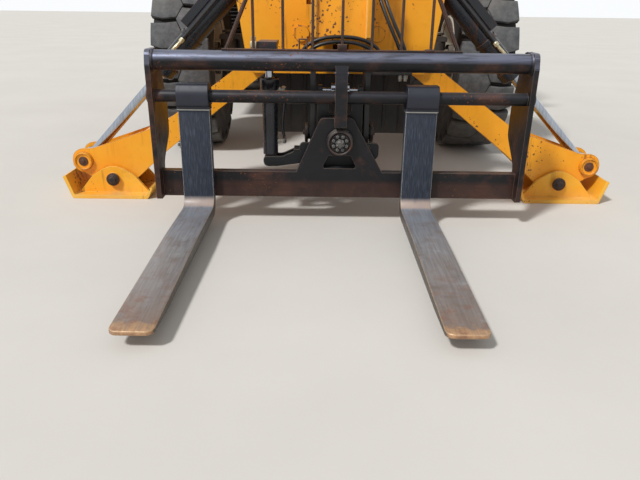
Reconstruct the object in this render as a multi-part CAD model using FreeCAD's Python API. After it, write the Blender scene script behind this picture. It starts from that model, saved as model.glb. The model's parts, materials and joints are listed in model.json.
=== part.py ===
"""A telehandler with front stabilisers, parked with its boom down and its forks just off the ground.

Millimetres. +Z is up, the forks point along -Y and the cab stands on the +X side. The origin is on the
ground under the middle of the machine's length. Pieces that move stand in their parked places.
"""

import FreeCAD, Part
import math
import os

from FreeCAD import Vector

# Overall layout
WHEELBASE = 3200.0
REAR_OVERHANG = 1150.0        # rear axle to the tail of the counterweight
TOW_REACH = 60.0              # how far the towing jaws stand out of the tail
FORK_REACH = 2000.0           # front axle to the front face of the fork shanks
BLADE_LENGTH = 1220.0
RUN_GAP = 0.5                 # radial clearance of a shaft that turns or slides
SEAT_GAP = 0.3                # clearance of a piece that rests on another body
SAFE_GAP = 10.0               # clearance between pieces that pass each other
THIN_SIDES = 8                # of a slim bar
FACET_TURN = 22.5             # degrees between neighbouring facets of a rounded corner

AXLE_F_Y = (FORK_REACH + BLADE_LENGTH - WHEELBASE - REAR_OVERHANG - TOW_REACH) / 2
AXLE_R_Y = AXLE_F_Y + WHEELBASE
TAIL_Y = AXLE_R_Y + REAR_OVERHANG
SHANK_Y = AXLE_F_Y - FORK_REACH
LAMP_Y = AXLE_F_Y - 800.0     # road lamps, on arms from the chassis
LAMP_Z = 1125.0

# Wheels, tyres and axles
TYRE_R = 650.0
TYRE_W = 400.0
TREAD_DEPTH = 32.0
LUGS = 12                     # in each of two rows
LUG_L = 215.0                 # around the tyre
LUG_LEAN = 110.0              # how far round a lug's outer end stands from its inner end
LUG_OVERLAP = 18.0            # how far each row's lugs reach over the middle line
LUG_INSET = 12.0
WHEEL_SIDES = 24
WHEEL_X = 1050.0
RIM_R = 305.0
RIM_WALL = 12.0
RIM_FLANGE = 24.0
RIM_EDGE = 14.0
RIM_INSET = 20.0              # from the tyre's side to the rim's edge
DISC_X = 985.0                # wheel disc, from the middle plane
DISC_T = 18.0
HUB_R = 150.0
HUB_OUT = 150.0               # how far the hub drum stands out of the disc
SPINDLE_R = 55.0
SPINDLE_L = 70.0
AXLE_Z = TYRE_R
KINGPIN_X = 800.0
KINGPIN_R = 30.0
KNUCKLE_R = 65.0
YOKE_H = 180.0
YOKE_T = 38.0
YOKE_W = 130.0
HOUSING_R = 95.0
DIFF_R = 150.0
AXLE_SIDES = 20
STEER_ARM = 205.0
STEER_BARREL_R = 42.0
STEER_ROD_R = 20.0
STEER_EYE_T = 30.0

# Chassis
RAIL_X = 370.0                # outer face of each side plate
RAIL_T = 25.0
DECK_T = 20.0
NOSE_RAIL_TOP = 1150.0
CHANNEL_Z = 1050.0            # floor of the tower's channel for the boom
MID_RAIL_TOP = 950.0
RAIL_BOTTOM = 560.0
AXLE_PAD_Z = 860.0

# Boom
BOOM_PIVOT_BACK = 750.0       # rear axle to the boom pivot
BOOM_PIVOT_Z = 1950.0
BOOM_SLOPE = 4.5              # degrees, down towards the forks
BOOM_PIN_R = 50.0
BOOM_TUBE_R = 85.0
OUTER_W = 300.0
OUTER_H = 420.0
OUTER_T = 12.0
INNER_T = 10.0
SLIDE_GAP = 12.0              # between two boom sections
MOUTH_STEP = 110.0            # how far each section stands out of the next larger one
COLLAR_L = 100.0
COLLAR_T = 14.0
PAD_L = 80.0

# Boom head and hitch
HEAD_X = 148.0
HEAD_T = 26.0
HITCH_PIN_Y = SHANK_Y + 230.0
HITCH_PIN_Z = 430.0
HITCH_PIN_R = 35.0
HEAD_BOSS_R = 85.0
HEAD_BACK = 436.0             # hitch pin to the flange that ends the boom
TILT_ARM_UP = 210.0
TILT_ARM_FORWARD = 50.0
TILT_BASE_UP = 860.0          # from the hitch pin
TILT_BASE_BACK = 250.0
EAR_T = 22.0
EAR_IN = 88.0                 # inner face of each ear
TILT_PIN_R = 24.0
TILT_R = 42.0
TILT_ROD_R = 26.0
TILT_BARREL = 580.0

# Hoses on the boom head
HOSE_R = 9.0
HOSE_TOP = 905.0              # crown of the outer hose that arches across the head
HOSE_Y = HITCH_PIN_Y - 46.0
HOSE_ROOM = 6.0               # left round the hoses where they pass a plate
HOSE_STEP = 26.0              # between two hoses that run side by side
SERVICE_Z = 728.0             # underside of the shelf for the service couplers

# Fork carriage
CARRIAGE_W = 1820.0
CARRIAGE_SIDE_T = 25.0
TOP_TUBE_R = 46.0
TOP_TUBE_Z = 801.0
FORK_SHAFT_R = 30.0
FORK_SHAFT_Z = 637.0
BEAM_LOW = 135.0
BEAM_HIGH = 265.0
BEAM_T = 50.0
SWAY_PIN_Z = 420.0
SWAY_PIN_R = 32.0
SWAY_HUB_R = 64.0
SWAY_CYL_X = -350.0
SWAY_CYL_Y = SHANK_Y + 165.0
SWAY_EYE_HALF = 22.0
SWAY_CYL_PIN_R = 16.0
SWAY_TOP_Z = 830.0
SWAY_FOOT_Z = 310.0
BACKREST_TOP = 1420.0
BAR_R = 7.0
BAR_PITCH = 137.0
BRACE_FOOT_X = 538.0
BRACE_TOP_Z = 1130.0

# Forks
FORK_W = 150.0
FORK_T = 50.0
FORK_LOW = 50.0               # underside of the blades above the ground
FORK_LEFT_X = -700.0
FORK_RIGHT_X = 385.0
TIP_T = 18.0

# Stabilisers
TOWER_FRONT = 1530.0          # front axle to the front of the tower
TOWER_DEPTH = 260.0
TOWER_T = 20.0
LEG_PIVOT_X = 200.0
LEG_PIVOT_Z = 905.0
LEG_PIN_R = 40.0
LEG_GAP = 10.0                # from the leg to the tower's plates
LEG_T = 20.0
RAM_FOOT_X = 1448.0
RAM_FOOT_Z = 197.0
RAM_TOP_X = 360.0
RAM_TOP_Z = 1340.0
RAM_R = 57.0
RAM_ROD_R = 27.0
RAM_BARREL = 900.0
PAD_PIN_X = 1280.0
PAD_PIN_Z = 100.0
PAD_PIN_R = 25.0

# Lift cylinder
LIFT_BASE_BACK = 100.0        # from the rear axle
LIFT_BASE_Z = 950.0
LIFT_LUG_REACH = 2220.0       # along the boom from the pivot
LIFT_LUG_DROP = 95.0          # below the boom's underside
LIFT_R = 75.0
LIFT_ROD_R = 45.0
LIFT_BARREL = LIFT_LUG_REACH - 740.0   # ends short of its lug, however far that stands

# Cab, engine pod and tanks
SIDE_FRONT = 850.0            # front axle to the front of the cab and pod
SIDE_REAR = 820.0             # back of the cab and pod to the rear axle
CAB_IN = 255.0
CAB_OUT = 1215.0
CAB_LOW = 975.0
CAB_TOP = 2510.0
CAB_WALL = 45.0
GLASS_T = 6.0
POD_IN = 395.0
POD_OUT = 1215.0
POD_LOW = 620.0
POD_SPLIT = 960.0
POD_TOP = 1500.0
SHEET = 8.0
TANK_LOW = 480.0
FENDER_R = 820.0
FENDER_T = 10.0
FENDER_IN = 660.0
FENDER_OUT = 1250.0
FENDER_LIP = 35.0             # how far the outer edge turns down
LOUVRE_H = 24.0
LOUVRE_PITCH = 44.0
EXHAUST_X = -270.0
EXHAUST_R = 30.0
MUFFLER_R = 56.0
MIRROR_H = 280.0
MIRROR_W = 170.0
TOW_PIN_R = 16.0


# Shape helpers: outlines take (a, b) corners, or (a, b, r) for a corner rounded to radius r
def rounded_wire(corners, place):
    """A closed wire through the corners, where a rounded one is a run of short facets on its arc."""
    points = []
    for i, corner in enumerate(corners):
        here = Vector(corner[0], corner[1], 0)
        before, after = corners[i - 1], corners[(i + 1) % len(corners)]
        back = Vector(before[0], before[1], 0) - here
        ahead = Vector(after[0], after[1], 0) - here
        turn = math.pi - back.getAngle(ahead)
        if len(corner) < 3 or turn < math.radians(FACET_TURN / 2):
            points.append(here)
            continue
        reach = min(corner[2] * math.tan(turn / 2), 0.49 * back.Length, 0.49 * ahead.Length)
        radius = reach / math.tan(turn / 2)
        back.normalize()
        ahead.normalize()
        centre = here + (back + ahead).normalize() * (radius / math.cos(turn / 2))
        start, end = here + back * reach - centre, here + ahead * reach - centre
        steps = max(1, round(math.degrees(turn) / FACET_TURN))
        for k in range(steps + 1):
            part = turn * k / steps
            points.append(centre + (start * math.sin(turn - part) + end * math.sin(part)) / math.sin(turn))
    places = [place(p) for p in points]
    return Part.makePolygon(places + places[:1])


def prism_x(corners, x0, x1):
    """An outline of (y, z) corners, from x0 to x1."""
    wire = rounded_wire(corners, lambda p: Vector(x0, p.x, p.y))
    return Part.Face(wire).extrude(Vector(x1 - x0, 0, 0))


def prism_y(corners, y0, y1):
    """An outline of (x, z) corners, from y0 to y1."""
    wire = rounded_wire(corners, lambda p: Vector(p.x, y0, p.y))
    return Part.Face(wire).extrude(Vector(0, y1 - y0, 0))


def prism_z(corners, z0, z1):
    """An outline of (x, y) corners, from z0 to z1."""
    wire = rounded_wire(corners, lambda p: Vector(p.x, p.y, z0))
    return Part.Face(wire).extrude(Vector(0, 0, z1 - z0))


def box(x0, x1, y0, y1, z0, z1):
    low = Vector(min(x0, x1), min(y0, y1), min(z0, z1))
    return Part.makeBox(abs(x1 - x0), abs(y1 - y0), abs(z1 - z0), low)


def bar(start, end, radius):
    """A round bar between two points."""
    along = end - start
    return Part.makeCylinder(radius, along.Length, start, along)


def thin_bar(start, end, radius, sides=THIN_SIDES):
    """A slim bar between two points, with a few flat sides."""
    along = end - start
    across = Vector(0, 1, 0).cross(along)
    side = (across if across.Length > 1e-6 else Vector(1, 0, 0)).normalize() * radius
    steps = [360.0 * (k + 0.5) / sides for k in range(sides)]
    corners = [start + FreeCAD.Rotation(along, step).multVec(side) for step in steps]
    return Part.Face(Part.makePolygon(corners + corners[:1])).extrude(along)


def hose(points, radius, sides=THIN_SIDES):
    """A hose or bent pipe along straight runs, mitred where they meet."""
    runs = [(b - a).normalize() for a, b in zip(points, points[1:])]
    across = runs[0].cross(Vector(0, 1, 0) if abs(runs[0].y) < 0.9 else Vector(1, 0, 0)).normalize() * radius
    steps = [360.0 * k / sides for k in range(sides)]
    ring = [points[0] + FreeCAD.Rotation(runs[0], step).multVec(across) for step in steps]
    faces = [Part.Face(Part.makePolygon(ring + ring[:1]))]
    for i, run in enumerate(runs):
        mitre = run + runs[i + 1] if i + 1 < len(runs) else run
        following = [p + run * ((points[i + 1] - p).dot(mitre) / run.dot(mitre)) for p in ring]
        for k in range(sides):
            a, b, c, d = ring[k], ring[k - 1], following[k - 1], following[k]
            faces.append(Part.Face(Part.makePolygon([a, b, c, d, a])))
        ring = following
    faces.append(Part.Face(Part.makePolygon(ring + ring[:1])))
    return Part.makeSolid(Part.makeShell(faces))


def bar_x(x0, x1, y, z, radius):
    return bar(Vector(x0, y, z), Vector(x1, y, z), radius)


def bar_y(y0, y1, x, z, radius):
    return bar(Vector(x, y0, z), Vector(x, y1, z), radius)


def bar_z(z0, z1, x, y, radius):
    return bar(Vector(x, y, z0), Vector(x, y, z1), radius)


def faceted(corners, y, z, sides):
    """A many-sided turning about the line along X through (y, z), from an outline of (x, radius) corners."""
    rings = []
    for x, radius in corners:
        ring = []
        for k in range(sides if radius > 0 else 1):
            angle = 2 * math.pi * (k + 0.5) / sides
            ring.append(Vector(x, y + radius * math.sin(angle), z - radius * math.cos(angle)))
        rings.append(ring)
    faces = []
    for i, ring in enumerate(rings):
        following = rings[(i + 1) % len(rings)]
        for k in range(sides):
            a, b = ring[k % len(ring)], ring[(k + 1) % len(ring)]
            c, d = following[(k + 1) % len(following)], following[k % len(following)]
            points = [p for j, p in enumerate((a, b, c, d)) if (p - (d, a, b, c)[j]).Length > 1e-6]
            if len(points) > 2:
                faces.append(Part.Face(Part.makePolygon(points + points[:1])))
    return Part.makeSolid(Part.makeShell(faces)).removeSplitter()


def fused(shapes):
    """One solid from shapes that overlap or touch."""
    whole = shapes[0]
    if len(shapes) > 1:
        whole = whole.multiFuse(shapes[1:])
    return whole.removeSplitter()


def mirrored(shape):
    """The same shape on the other side of the middle plane."""
    return shape.mirror(Vector(0, 0, 0), Vector(1, 0, 0))


def both_sides(shape):
    return [shape, mirrored(shape)]


def save(name, shape):
    if isinstance(shape, list):
        shape = Part.makeCompound(shape)
    shape.exportStep(os.path.join("parts", name + ".step"))
    solids = shape.Solids
    print(name, len(solids), "solids", all(s.isValid() for s in solids), round(shape.Volume / 1e9, 4))


# Ends of the cab and pod
SIDE_Y0 = AXLE_F_Y + SIDE_FRONT
SIDE_Y1 = AXLE_R_Y - SIDE_REAR
SIDE_LENGTH = SIDE_Y1 - SIDE_Y0

# The boom's own directions: along it towards the forks, and square to it upwards
SLOPE = math.radians(BOOM_SLOPE)
BOOM_Y = AXLE_R_Y + BOOM_PIVOT_BACK


def on_boom(along, up):
    """(y, z) of a point that lies along the boom from its pivot, and up from its centreline."""
    return (BOOM_Y - along * math.cos(SLOPE) - up * math.sin(SLOPE),
            BOOM_PIVOT_Z - along * math.sin(SLOPE) + up * math.cos(SLOPE))


def boom_block(along0, along1, low, high, half_width):
    """A block square to the boom."""
    corners = [on_boom(along0, low), on_boom(along1, low), on_boom(along1, high), on_boom(along0, high)]
    return prism_x(corners, -half_width, half_width)


MID_W = OUTER_W - 2 * (OUTER_T + SLIDE_GAP)
MID_H = OUTER_H - 2 * (OUTER_T + SLIDE_GAP)
INNER_W = MID_W - 2 * (INNER_T + SLIDE_GAP)
INNER_H = MID_H - 2 * (INNER_T + SLIDE_GAP)
INNER_END = (BOOM_Y - HITCH_PIN_Y - HEAD_BACK) / math.cos(SLOPE) - 20.0
MID_END = INNER_END - SAFE_GAP
OUTER_L = MID_END - MOUTH_STEP
MID_START = BOOM_TUBE_R + 65.0
INNER_START = MID_START + PAD_L + 20.0
LIFT_BASE_Y = AXLE_R_Y + LIFT_BASE_BACK
LIFT_LUG = on_boom(LIFT_LUG_REACH, -OUTER_H / 2 - LIFT_LUG_DROP)


# Chassis
def chassis_outline():
    """(y, z) corners of one side plate, from the tower back to the boom pivot and under the axles."""
    f, r = AXLE_F_Y, AXLE_R_Y
    pivot_y, pivot_z = BOOM_Y, BOOM_PIVOT_Z
    return [
        (f - TOWER_FRONT + TOWER_DEPTH, 720), (f - TOWER_FRONT + TOWER_DEPTH, NOSE_RAIL_TOP, 20),
        (f + 560, NOSE_RAIL_TOP, 120), (f + 760, MID_RAIL_TOP, 120), (r - 500, MID_RAIL_TOP, 200),
        (pivot_y - 330, pivot_z - 330, 200), (pivot_y - 170, pivot_z + 150, 130),
        (pivot_y + 150, pivot_z + 150, 130), (pivot_y + 150, 1330, 100), (pivot_y + 60, 1215, 60),
        (pivot_y + 60, 760, 60), (r + 520, 760, 60), (r + 380, AXLE_PAD_Z, 60), (r - 380, AXLE_PAD_Z, 60),
        (r - 560, RAIL_BOTTOM, 100), (f + 620, RAIL_BOTTOM, 100), (f + 440, AXLE_PAD_Z, 60),
        (f - 440, AXLE_PAD_Z, 60), (f - 620, 720, 60),
    ]


def chassis_frame():
    inner = RAIL_X - RAIL_T
    rail = prism_x(chassis_outline(), inner, RAIL_X)
    tower_back = AXLE_F_Y - TOWER_FRONT + TOWER_DEPTH
    deck = box(-inner, inner, tower_back, AXLE_F_Y + 480, NOSE_RAIL_TOP - DECK_T, NOSE_RAIL_TOP)
    nose_floor = box(-inner, inner, tower_back, AXLE_F_Y - 640, 720, 720 + DECK_T)
    belly = box(-inner, inner, AXLE_F_Y + 680, AXLE_R_Y - 620, RAIL_BOTTOM, RAIL_BOTTOM + DECK_T)
    tail = box(-inner, inner, BOOM_Y + 20, BOOM_Y + 60, 760, 1180)
    back = box(-inner, inner, BOOM_Y + 125, BOOM_Y + 150, 1320, BOOM_PIVOT_Z - 320)
    pivot = bar_x(-RAIL_X - 35, RAIL_X + 35, BOOM_Y, BOOM_PIVOT_Z, BOOM_PIN_R)
    boss = bar_x(RAIL_X - 1, RAIL_X + 25, BOOM_Y, BOOM_PIVOT_Z, 95)
    lift_pin = bar_x(-inner - 5, inner + 5, LIFT_BASE_Y, LIFT_BASE_Z, 40)
    lift_boss = bar_x(LIFT_R + 22, inner, LIFT_BASE_Y, LIFT_BASE_Z, 75)
    cab_arms = [box(RAIL_X - 1, CAB_OUT - 120, y, y + 90, TANK_LOW + 400, MID_RAIL_TOP + 25 - SEAT_GAP)
                for y in (SIDE_Y0 + 140, SIDE_Y1 - 230)]
    pod_arms = [box(-RAIL_X + 1, -POD_OUT + 120, y, y + 90, POD_LOW - 60, POD_LOW)
                for y in (SIDE_Y0 + 140, SIDE_Y1 - 230)]
    lamp_arm = box(RAIL_X - 1, 690, LAMP_Y, LAMP_Y + 60, LAMP_Z - 16, LAMP_Z)
    return fused(both_sides(rail) + both_sides(boss) + both_sides(lift_boss) + cab_arms + pod_arms
                 + both_sides(lamp_arm)
                 + [deck, nose_floor, belly, tail, back, pivot, lift_pin])


# Stabiliser tower, legs, feet and rams
TOWER_Y0 = AXLE_F_Y - TOWER_FRONT
TOWER_Y1 = TOWER_Y0 + TOWER_DEPTH
LEG_Y0 = TOWER_Y0 + TOWER_T + LEG_GAP
LEG_Y1 = TOWER_Y1 - TOWER_T - LEG_GAP
SLOT_Y0 = LEG_Y0 + LEG_T
SLOT_Y1 = LEG_Y1 - LEG_T
RAM_Y = (LEG_Y0 + LEG_Y1) / 2


def stabiliser_tower():
    half = [(470, 700, 30), (500, 800, 200), (545, 1100, 120), (485, RAM_TOP_Z + 120, 60),
            (190, RAM_TOP_Z + 120, 20), (190, CHANNEL_Z, 20)]
    outline = half + [(-c[0],) + c[1:] for c in reversed(half)]
    front = prism_y(outline, TOWER_Y0, TOWER_Y0 + TOWER_T)
    rear = prism_y(outline, TOWER_Y1 - TOWER_T, TOWER_Y1)
    web = box(48, 66, TOWER_Y0 + 1, TOWER_Y1 - 1, 700, CHANNEL_Z)
    cheek = box(175, 190, TOWER_Y0, TOWER_Y1, CHANNEL_Z - DECK_T, RAM_TOP_Z + 100)
    deck = box(-190, 190, TOWER_Y0, TOWER_Y1, CHANNEL_Z - DECK_T, CHANNEL_Z)
    cap = box(175, RAM_TOP_X - 75, TOWER_Y0 + 1, TOWER_Y1 - 1, RAM_TOP_Z + 95, RAM_TOP_Z + 115)
    leg_pin = bar_y(TOWER_Y0 - 12, TOWER_Y1 - 2, LEG_PIVOT_X, LEG_PIVOT_Z, LEG_PIN_R)
    ram_pin = bar_y(TOWER_Y0 - 12, TOWER_Y1 - 2, RAM_TOP_X, RAM_TOP_Z, 30)
    return fused([front, rear, deck] + both_sides(web) + both_sides(cheek) + both_sides(cap)
                 + both_sides(leg_pin) + both_sides(ram_pin))


def stabiliser_leg():
    """The leg on the +X side: a dog-legged box, open at its outer end for the ram."""
    px, pz, fx, fz = RAM_FOOT_X, RAM_FOOT_Z, PAD_PIN_X, PAD_PIN_Z
    ox, oz = LEG_PIVOT_X, LEG_PIVOT_Z
    outline = [
        (ox - 24, oz + 110, 70), (600, 690, 300), (962, 430, 200), (1030, 392, 200),
        (1225, 325, 200), (px - 50, pz + 70, 60), (px + 55, pz + 68, 60), (px + 72, pz - 45, 60),
        (px - 20, pz - 82, 60), (fx + 68, fz - 58, 55), (fx - 62, fz - 62, 55), (1120, 125, 80),
        (965, 262, 150), (430, 676, 200), (ox - 112, oz - 10, 70),
    ]
    leg = prism_y(outline, LEG_Y0, LEG_Y1)
    slot = prism_y([(1075, 420), (1130, 215, 40), (1250, 170, 60), (px - 20, 90, 60), (px + 100, 90),
                    (px + 100, 420)], SLOT_Y0, SLOT_Y1)
    pivot = bar_y(LEG_Y0 - 1, LEG_Y1 + 1, ox, oz, LEG_PIN_R + RUN_GAP)
    pad_hole = bar_y(LEG_Y0 - 1, LEG_Y1 + 1, fx, fz, PAD_PIN_R + RUN_GAP)
    boss_f = bar_y(LEG_Y0 - 14, LEG_Y0 + 1, px, pz, 52)
    boss_r = bar_y(LEG_Y1 - 1, LEG_Y1 + 14, px, pz, 52)
    leg = leg.cut(Part.makeCompound([slot, pivot, pad_hole]))
    return fused([leg, boss_f, boss_r])


def stabiliser_foot():
    fx, fz = PAD_PIN_X, PAD_PIN_Z
    plate = prism_y([(fx - 235, 62), (fx - 205, 0, 15), (fx + 222, 0, 15), (fx + 265, 128), (fx + 247, 134),
                     (fx + 210, 20, 15), (fx - 197, 20, 15), (fx - 222, 70)], LEG_Y0 - 95, LEG_Y1 + 95)
    cheek_outline = [(fx - 208, 8), (fx - 120, fz + 20, 60), (fx, fz + 92, 160), (fx + 120, fz + 20, 60),
                     (fx + 214, 8)]
    cheek_f = prism_y(cheek_outline, LEG_Y0 - 27, LEG_Y0 - 7)
    cheek_r = prism_y(cheek_outline, LEG_Y1 + 7, LEG_Y1 + 27)
    pin = bar_y(LEG_Y0 - 45, LEG_Y1 + 45, fx, fz, PAD_PIN_R)
    head = bar_y(LEG_Y0 - 40, LEG_Y0 - 26, fx, fz, 36)
    return fused([plate, cheek_f, cheek_r, pin, head])


# Axles, steering and wheels
def axle(axle_y, rod_side):
    """A housing with a yoke at each end; rod_side is 1 or -1 for a steering cylinder behind or ahead."""
    half = [(0, 0), (0, DIFF_R), (70, DIFF_R), (130, DIFF_R - 30), (230, HOUSING_R + 5),
            (KINGPIN_X - 120, HOUSING_R), (KINGPIN_X - 120, 0)]
    housing = faceted(half, axle_y, AXLE_Z, AXLE_SIDES)
    x_in, x_out = KINGPIN_X - 110, KINGPIN_X + KNUCKLE_R
    top, low = AXLE_Z + YOKE_H, AXLE_Z - YOKE_H
    yoke = prism_y([(x_in - 50, AXLE_Z - 90), (x_in - 50, AXLE_Z + 90), (x_in + 20, top, 20),
                    (x_out, top, 30), (x_out, top - YOKE_T), (x_in + 22, top - YOKE_T, 15),
                    (x_in + 22, low + YOKE_T, 15),
                    (x_out, low + YOKE_T), (x_out, low, 30), (x_in + 20, low, 20)],
                   axle_y - YOKE_W / 2, axle_y + YOKE_W / 2)
    bore = bar_z(low - 1, top + 1, KINGPIN_X, axle_y, KINGPIN_R + RUN_GAP)
    yoke = yoke.cut(bore)
    pad = box(RAIL_X - 110, RAIL_X, axle_y - 90, axle_y + 90, AXLE_Z, AXLE_PAD_Z)
    rod_y = axle_y + rod_side * STEER_ARM
    barrel = bar_x(-230, 230, rod_y, AXLE_Z, STEER_BARREL_R)
    strap = box(170, 200, axle_y, rod_y, AXLE_Z - 30, AXLE_Z + 30)
    whole = fused(both_sides(housing) + both_sides(yoke) + both_sides(pad) + [barrel] + both_sides(strap))
    return whole.cut(bar_x(-231, 231, rod_y, AXLE_Z, STEER_ROD_R + RUN_GAP))


def steer_rod(axle_y, rod_side):
    rod_y = axle_y + rod_side * STEER_ARM
    rod = bar_x(-KINGPIN_X, KINGPIN_X, rod_y, AXLE_Z, STEER_ROD_R)
    eye = bar_z(AXLE_Z - STEER_EYE_T / 2, AXLE_Z + STEER_EYE_T / 2, KINGPIN_X, rod_y, 32)
    return fused([rod] + both_sides(eye))


def knuckle(axle_y, rod_side):
    """The steering knuckle on the +X side, with its arm, kingpin and spindle."""
    low = AXLE_Z - YOKE_H + YOKE_T + SEAT_GAP
    high = AXLE_Z + YOKE_H - YOKE_T - SEAT_GAP
    body = bar_z(low, high, KINGPIN_X, axle_y, KNUCKLE_R)
    pin = bar_z(AXLE_Z - YOKE_H - 12, AXLE_Z + YOKE_H + 12, KINGPIN_X, axle_y, KINGPIN_R)
    flange_x = KINGPIN_X + KNUCKLE_R + SAFE_GAP + 5
    neck = faceted([(KINGPIN_X, 0), (KINGPIN_X, 90), (flange_x, 90), (flange_x, 120), (DISC_X - 55, 120),
                    (DISC_X - 55, 90), (DISC_X - 20, 90), (DISC_X - 20, 0)], axle_y, AXLE_Z, AXLE_SIDES)
    spindle = bar_x(DISC_X - 60, DISC_X + SPINDLE_L, axle_y, AXLE_Z, SPINDLE_R)
    arm_top = AXLE_Z - STEER_EYE_T / 2 - 6
    arm_low = arm_top - 30
    side = rod_side
    arm = prism_z([(KINGPIN_X - 40, axle_y, 10), (KINGPIN_X - 30, axle_y + side * (STEER_ARM + 30), 28),
                   (KINGPIN_X + 30, axle_y + side * (STEER_ARM + 30), 28), (KINGPIN_X + 60, axle_y, 10)],
                  arm_low, arm_top)
    return fused([body, pin, neck, spindle, arm])


def rim(axle_y):
    """Wheel on the +X side: barrel, disc and hub drum in one turned piece, faceted like its tyre."""
    half = TYRE_W / 2 - RIM_INSET
    x0, x1 = WHEEL_X - half, WHEEL_X + half
    seat, wall, lip = RIM_R - RUN_GAP, RIM_R - RIM_WALL, RIM_R + RIM_FLANGE
    bore = (SPINDLE_R + RUN_GAP) / math.cos(math.pi / WHEEL_SIDES)
    pocket = DISC_X + SPINDLE_L + SAFE_GAP
    hub_out = DISC_X + HUB_OUT
    corners = [
        (DISC_X, bore), (DISC_X, wall), (x0, wall), (x0, lip), (x0 + RIM_EDGE, lip), (x0 + RIM_EDGE, seat),
        (x1 - RIM_EDGE, seat), (x1 - RIM_EDGE, lip), (x1, lip), (x1, wall), (DISC_X + DISC_T, wall),
        (DISC_X + DISC_T, HUB_R), (hub_out, HUB_R - 12), (hub_out, 60), (hub_out + 18, 52), (hub_out + 18, 0),
        (pocket, 0), (pocket, bore),
    ]
    return faceted(corners, axle_y, AXLE_Z, WHEEL_SIDES)


def lug(row):
    """One leaning tread block at the bottom of a tyre, in its outer row (1) or its inner row (-1)."""
    half = TYRE_W / 2
    x_in, x_out = -LUG_OVERLAP, half - LUG_INSET
    root = TYRE_R - TREAD_DEPTH - 12
    corners = [(x_in, -LUG_LEAN / 2 - LUG_L / 2), (x_out, LUG_LEAN / 2 - LUG_L / 2),
               (x_out, LUG_LEAN / 2 + LUG_L / 2), (x_in, -LUG_LEAN / 2 + LUG_L / 2)]
    block = prism_z([(row * x, y) for x, y in corners], -TYRE_R - TREAD_DEPTH, -root)
    drum_r = TYRE_R / math.cos(math.pi / WHEEL_SIDES)
    return block.common(faceted([(-half, 0), (-half, drum_r), (half, drum_r), (half, 0)], 0, 0, WHEEL_SIDES))


def tyre(axle_y):
    """Tyre on the +X side: a faceted carcass with two rows of staggered leaning lugs."""
    half = TYRE_W / 2
    root = TYRE_R - TREAD_DEPTH
    seat_half = half - RIM_INSET - RIM_EDGE - RUN_GAP
    seat = (RIM_R + RUN_GAP) / math.cos(math.pi / WHEEL_SIDES)
    bead = RIM_R + RIM_FLANGE + 3
    outline = [(-half + 34, bead), (-half, RIM_R + 170), (-half + 30, root), (half - 30, root),
               (half, RIM_R + 170), (half - 34, bead), (seat_half, bead), (seat_half, seat),
               (-seat_half, seat), (-seat_half, bead)]
    carcass = faceted([(WHEEL_X + x, r) for x, r in outline], axle_y, AXLE_Z, WHEEL_SIDES)
    place = Vector(WHEEL_X, axle_y, AXLE_Z)
    lugs = []
    for row, lag in ((1, 0.0), (-1, 0.5)):
        block = lug(row)
        for k in range(LUGS):
            turned = block.copy()
            turned.rotate(Vector(0, 0, 0), Vector(1, 0, 0), 360.0 * (k + lag) / LUGS)
            turned.translate(place)
            lugs.append(turned)
    return fused([carcass] + lugs)


def fenders():
    """Four arched guards, each on a strut from the side plate."""
    found = []
    for axle_y, front, back in ((AXLE_F_Y, 40, 48), (AXLE_R_Y, 48, 48)):
        turns = [math.radians(-front + (front + back) * i / 8) for i in range(9)]

        def band(low_r):
            inside = [(axle_y + low_r * math.sin(a), AXLE_Z + low_r * math.cos(a)) for a in turns]
            high_r = FENDER_R + FENDER_T
            return inside + [(axle_y + high_r * math.sin(a), AXLE_Z + high_r * math.cos(a))
                             for a in reversed(turns)]

        arch = prism_x(band(FENDER_R), FENDER_IN, FENDER_OUT)
        skirt = prism_x(band(FENDER_R - FENDER_LIP), FENDER_OUT, FENDER_OUT + 8)
        rail_top = NOSE_RAIL_TOP if axle_y == AXLE_F_Y else MID_RAIL_TOP + 150
        crown = AXLE_Z + FENDER_R
        strut = prism_y([(RAIL_X, rail_top - 120), (RAIL_X + 40, rail_top - 120, 20),
                         (FENDER_IN - 40, crown - 60, 60), (FENDER_IN + 30, crown + 2),
                         (FENDER_IN + 30, crown + 12), (FENDER_IN - 80, crown + 12, 60), (RAIL_X, rail_top)],
                        axle_y - 40, axle_y + 40)
        whole = fused([arch, skirt, strut])
        found += both_sides(whole)
    return found


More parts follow.
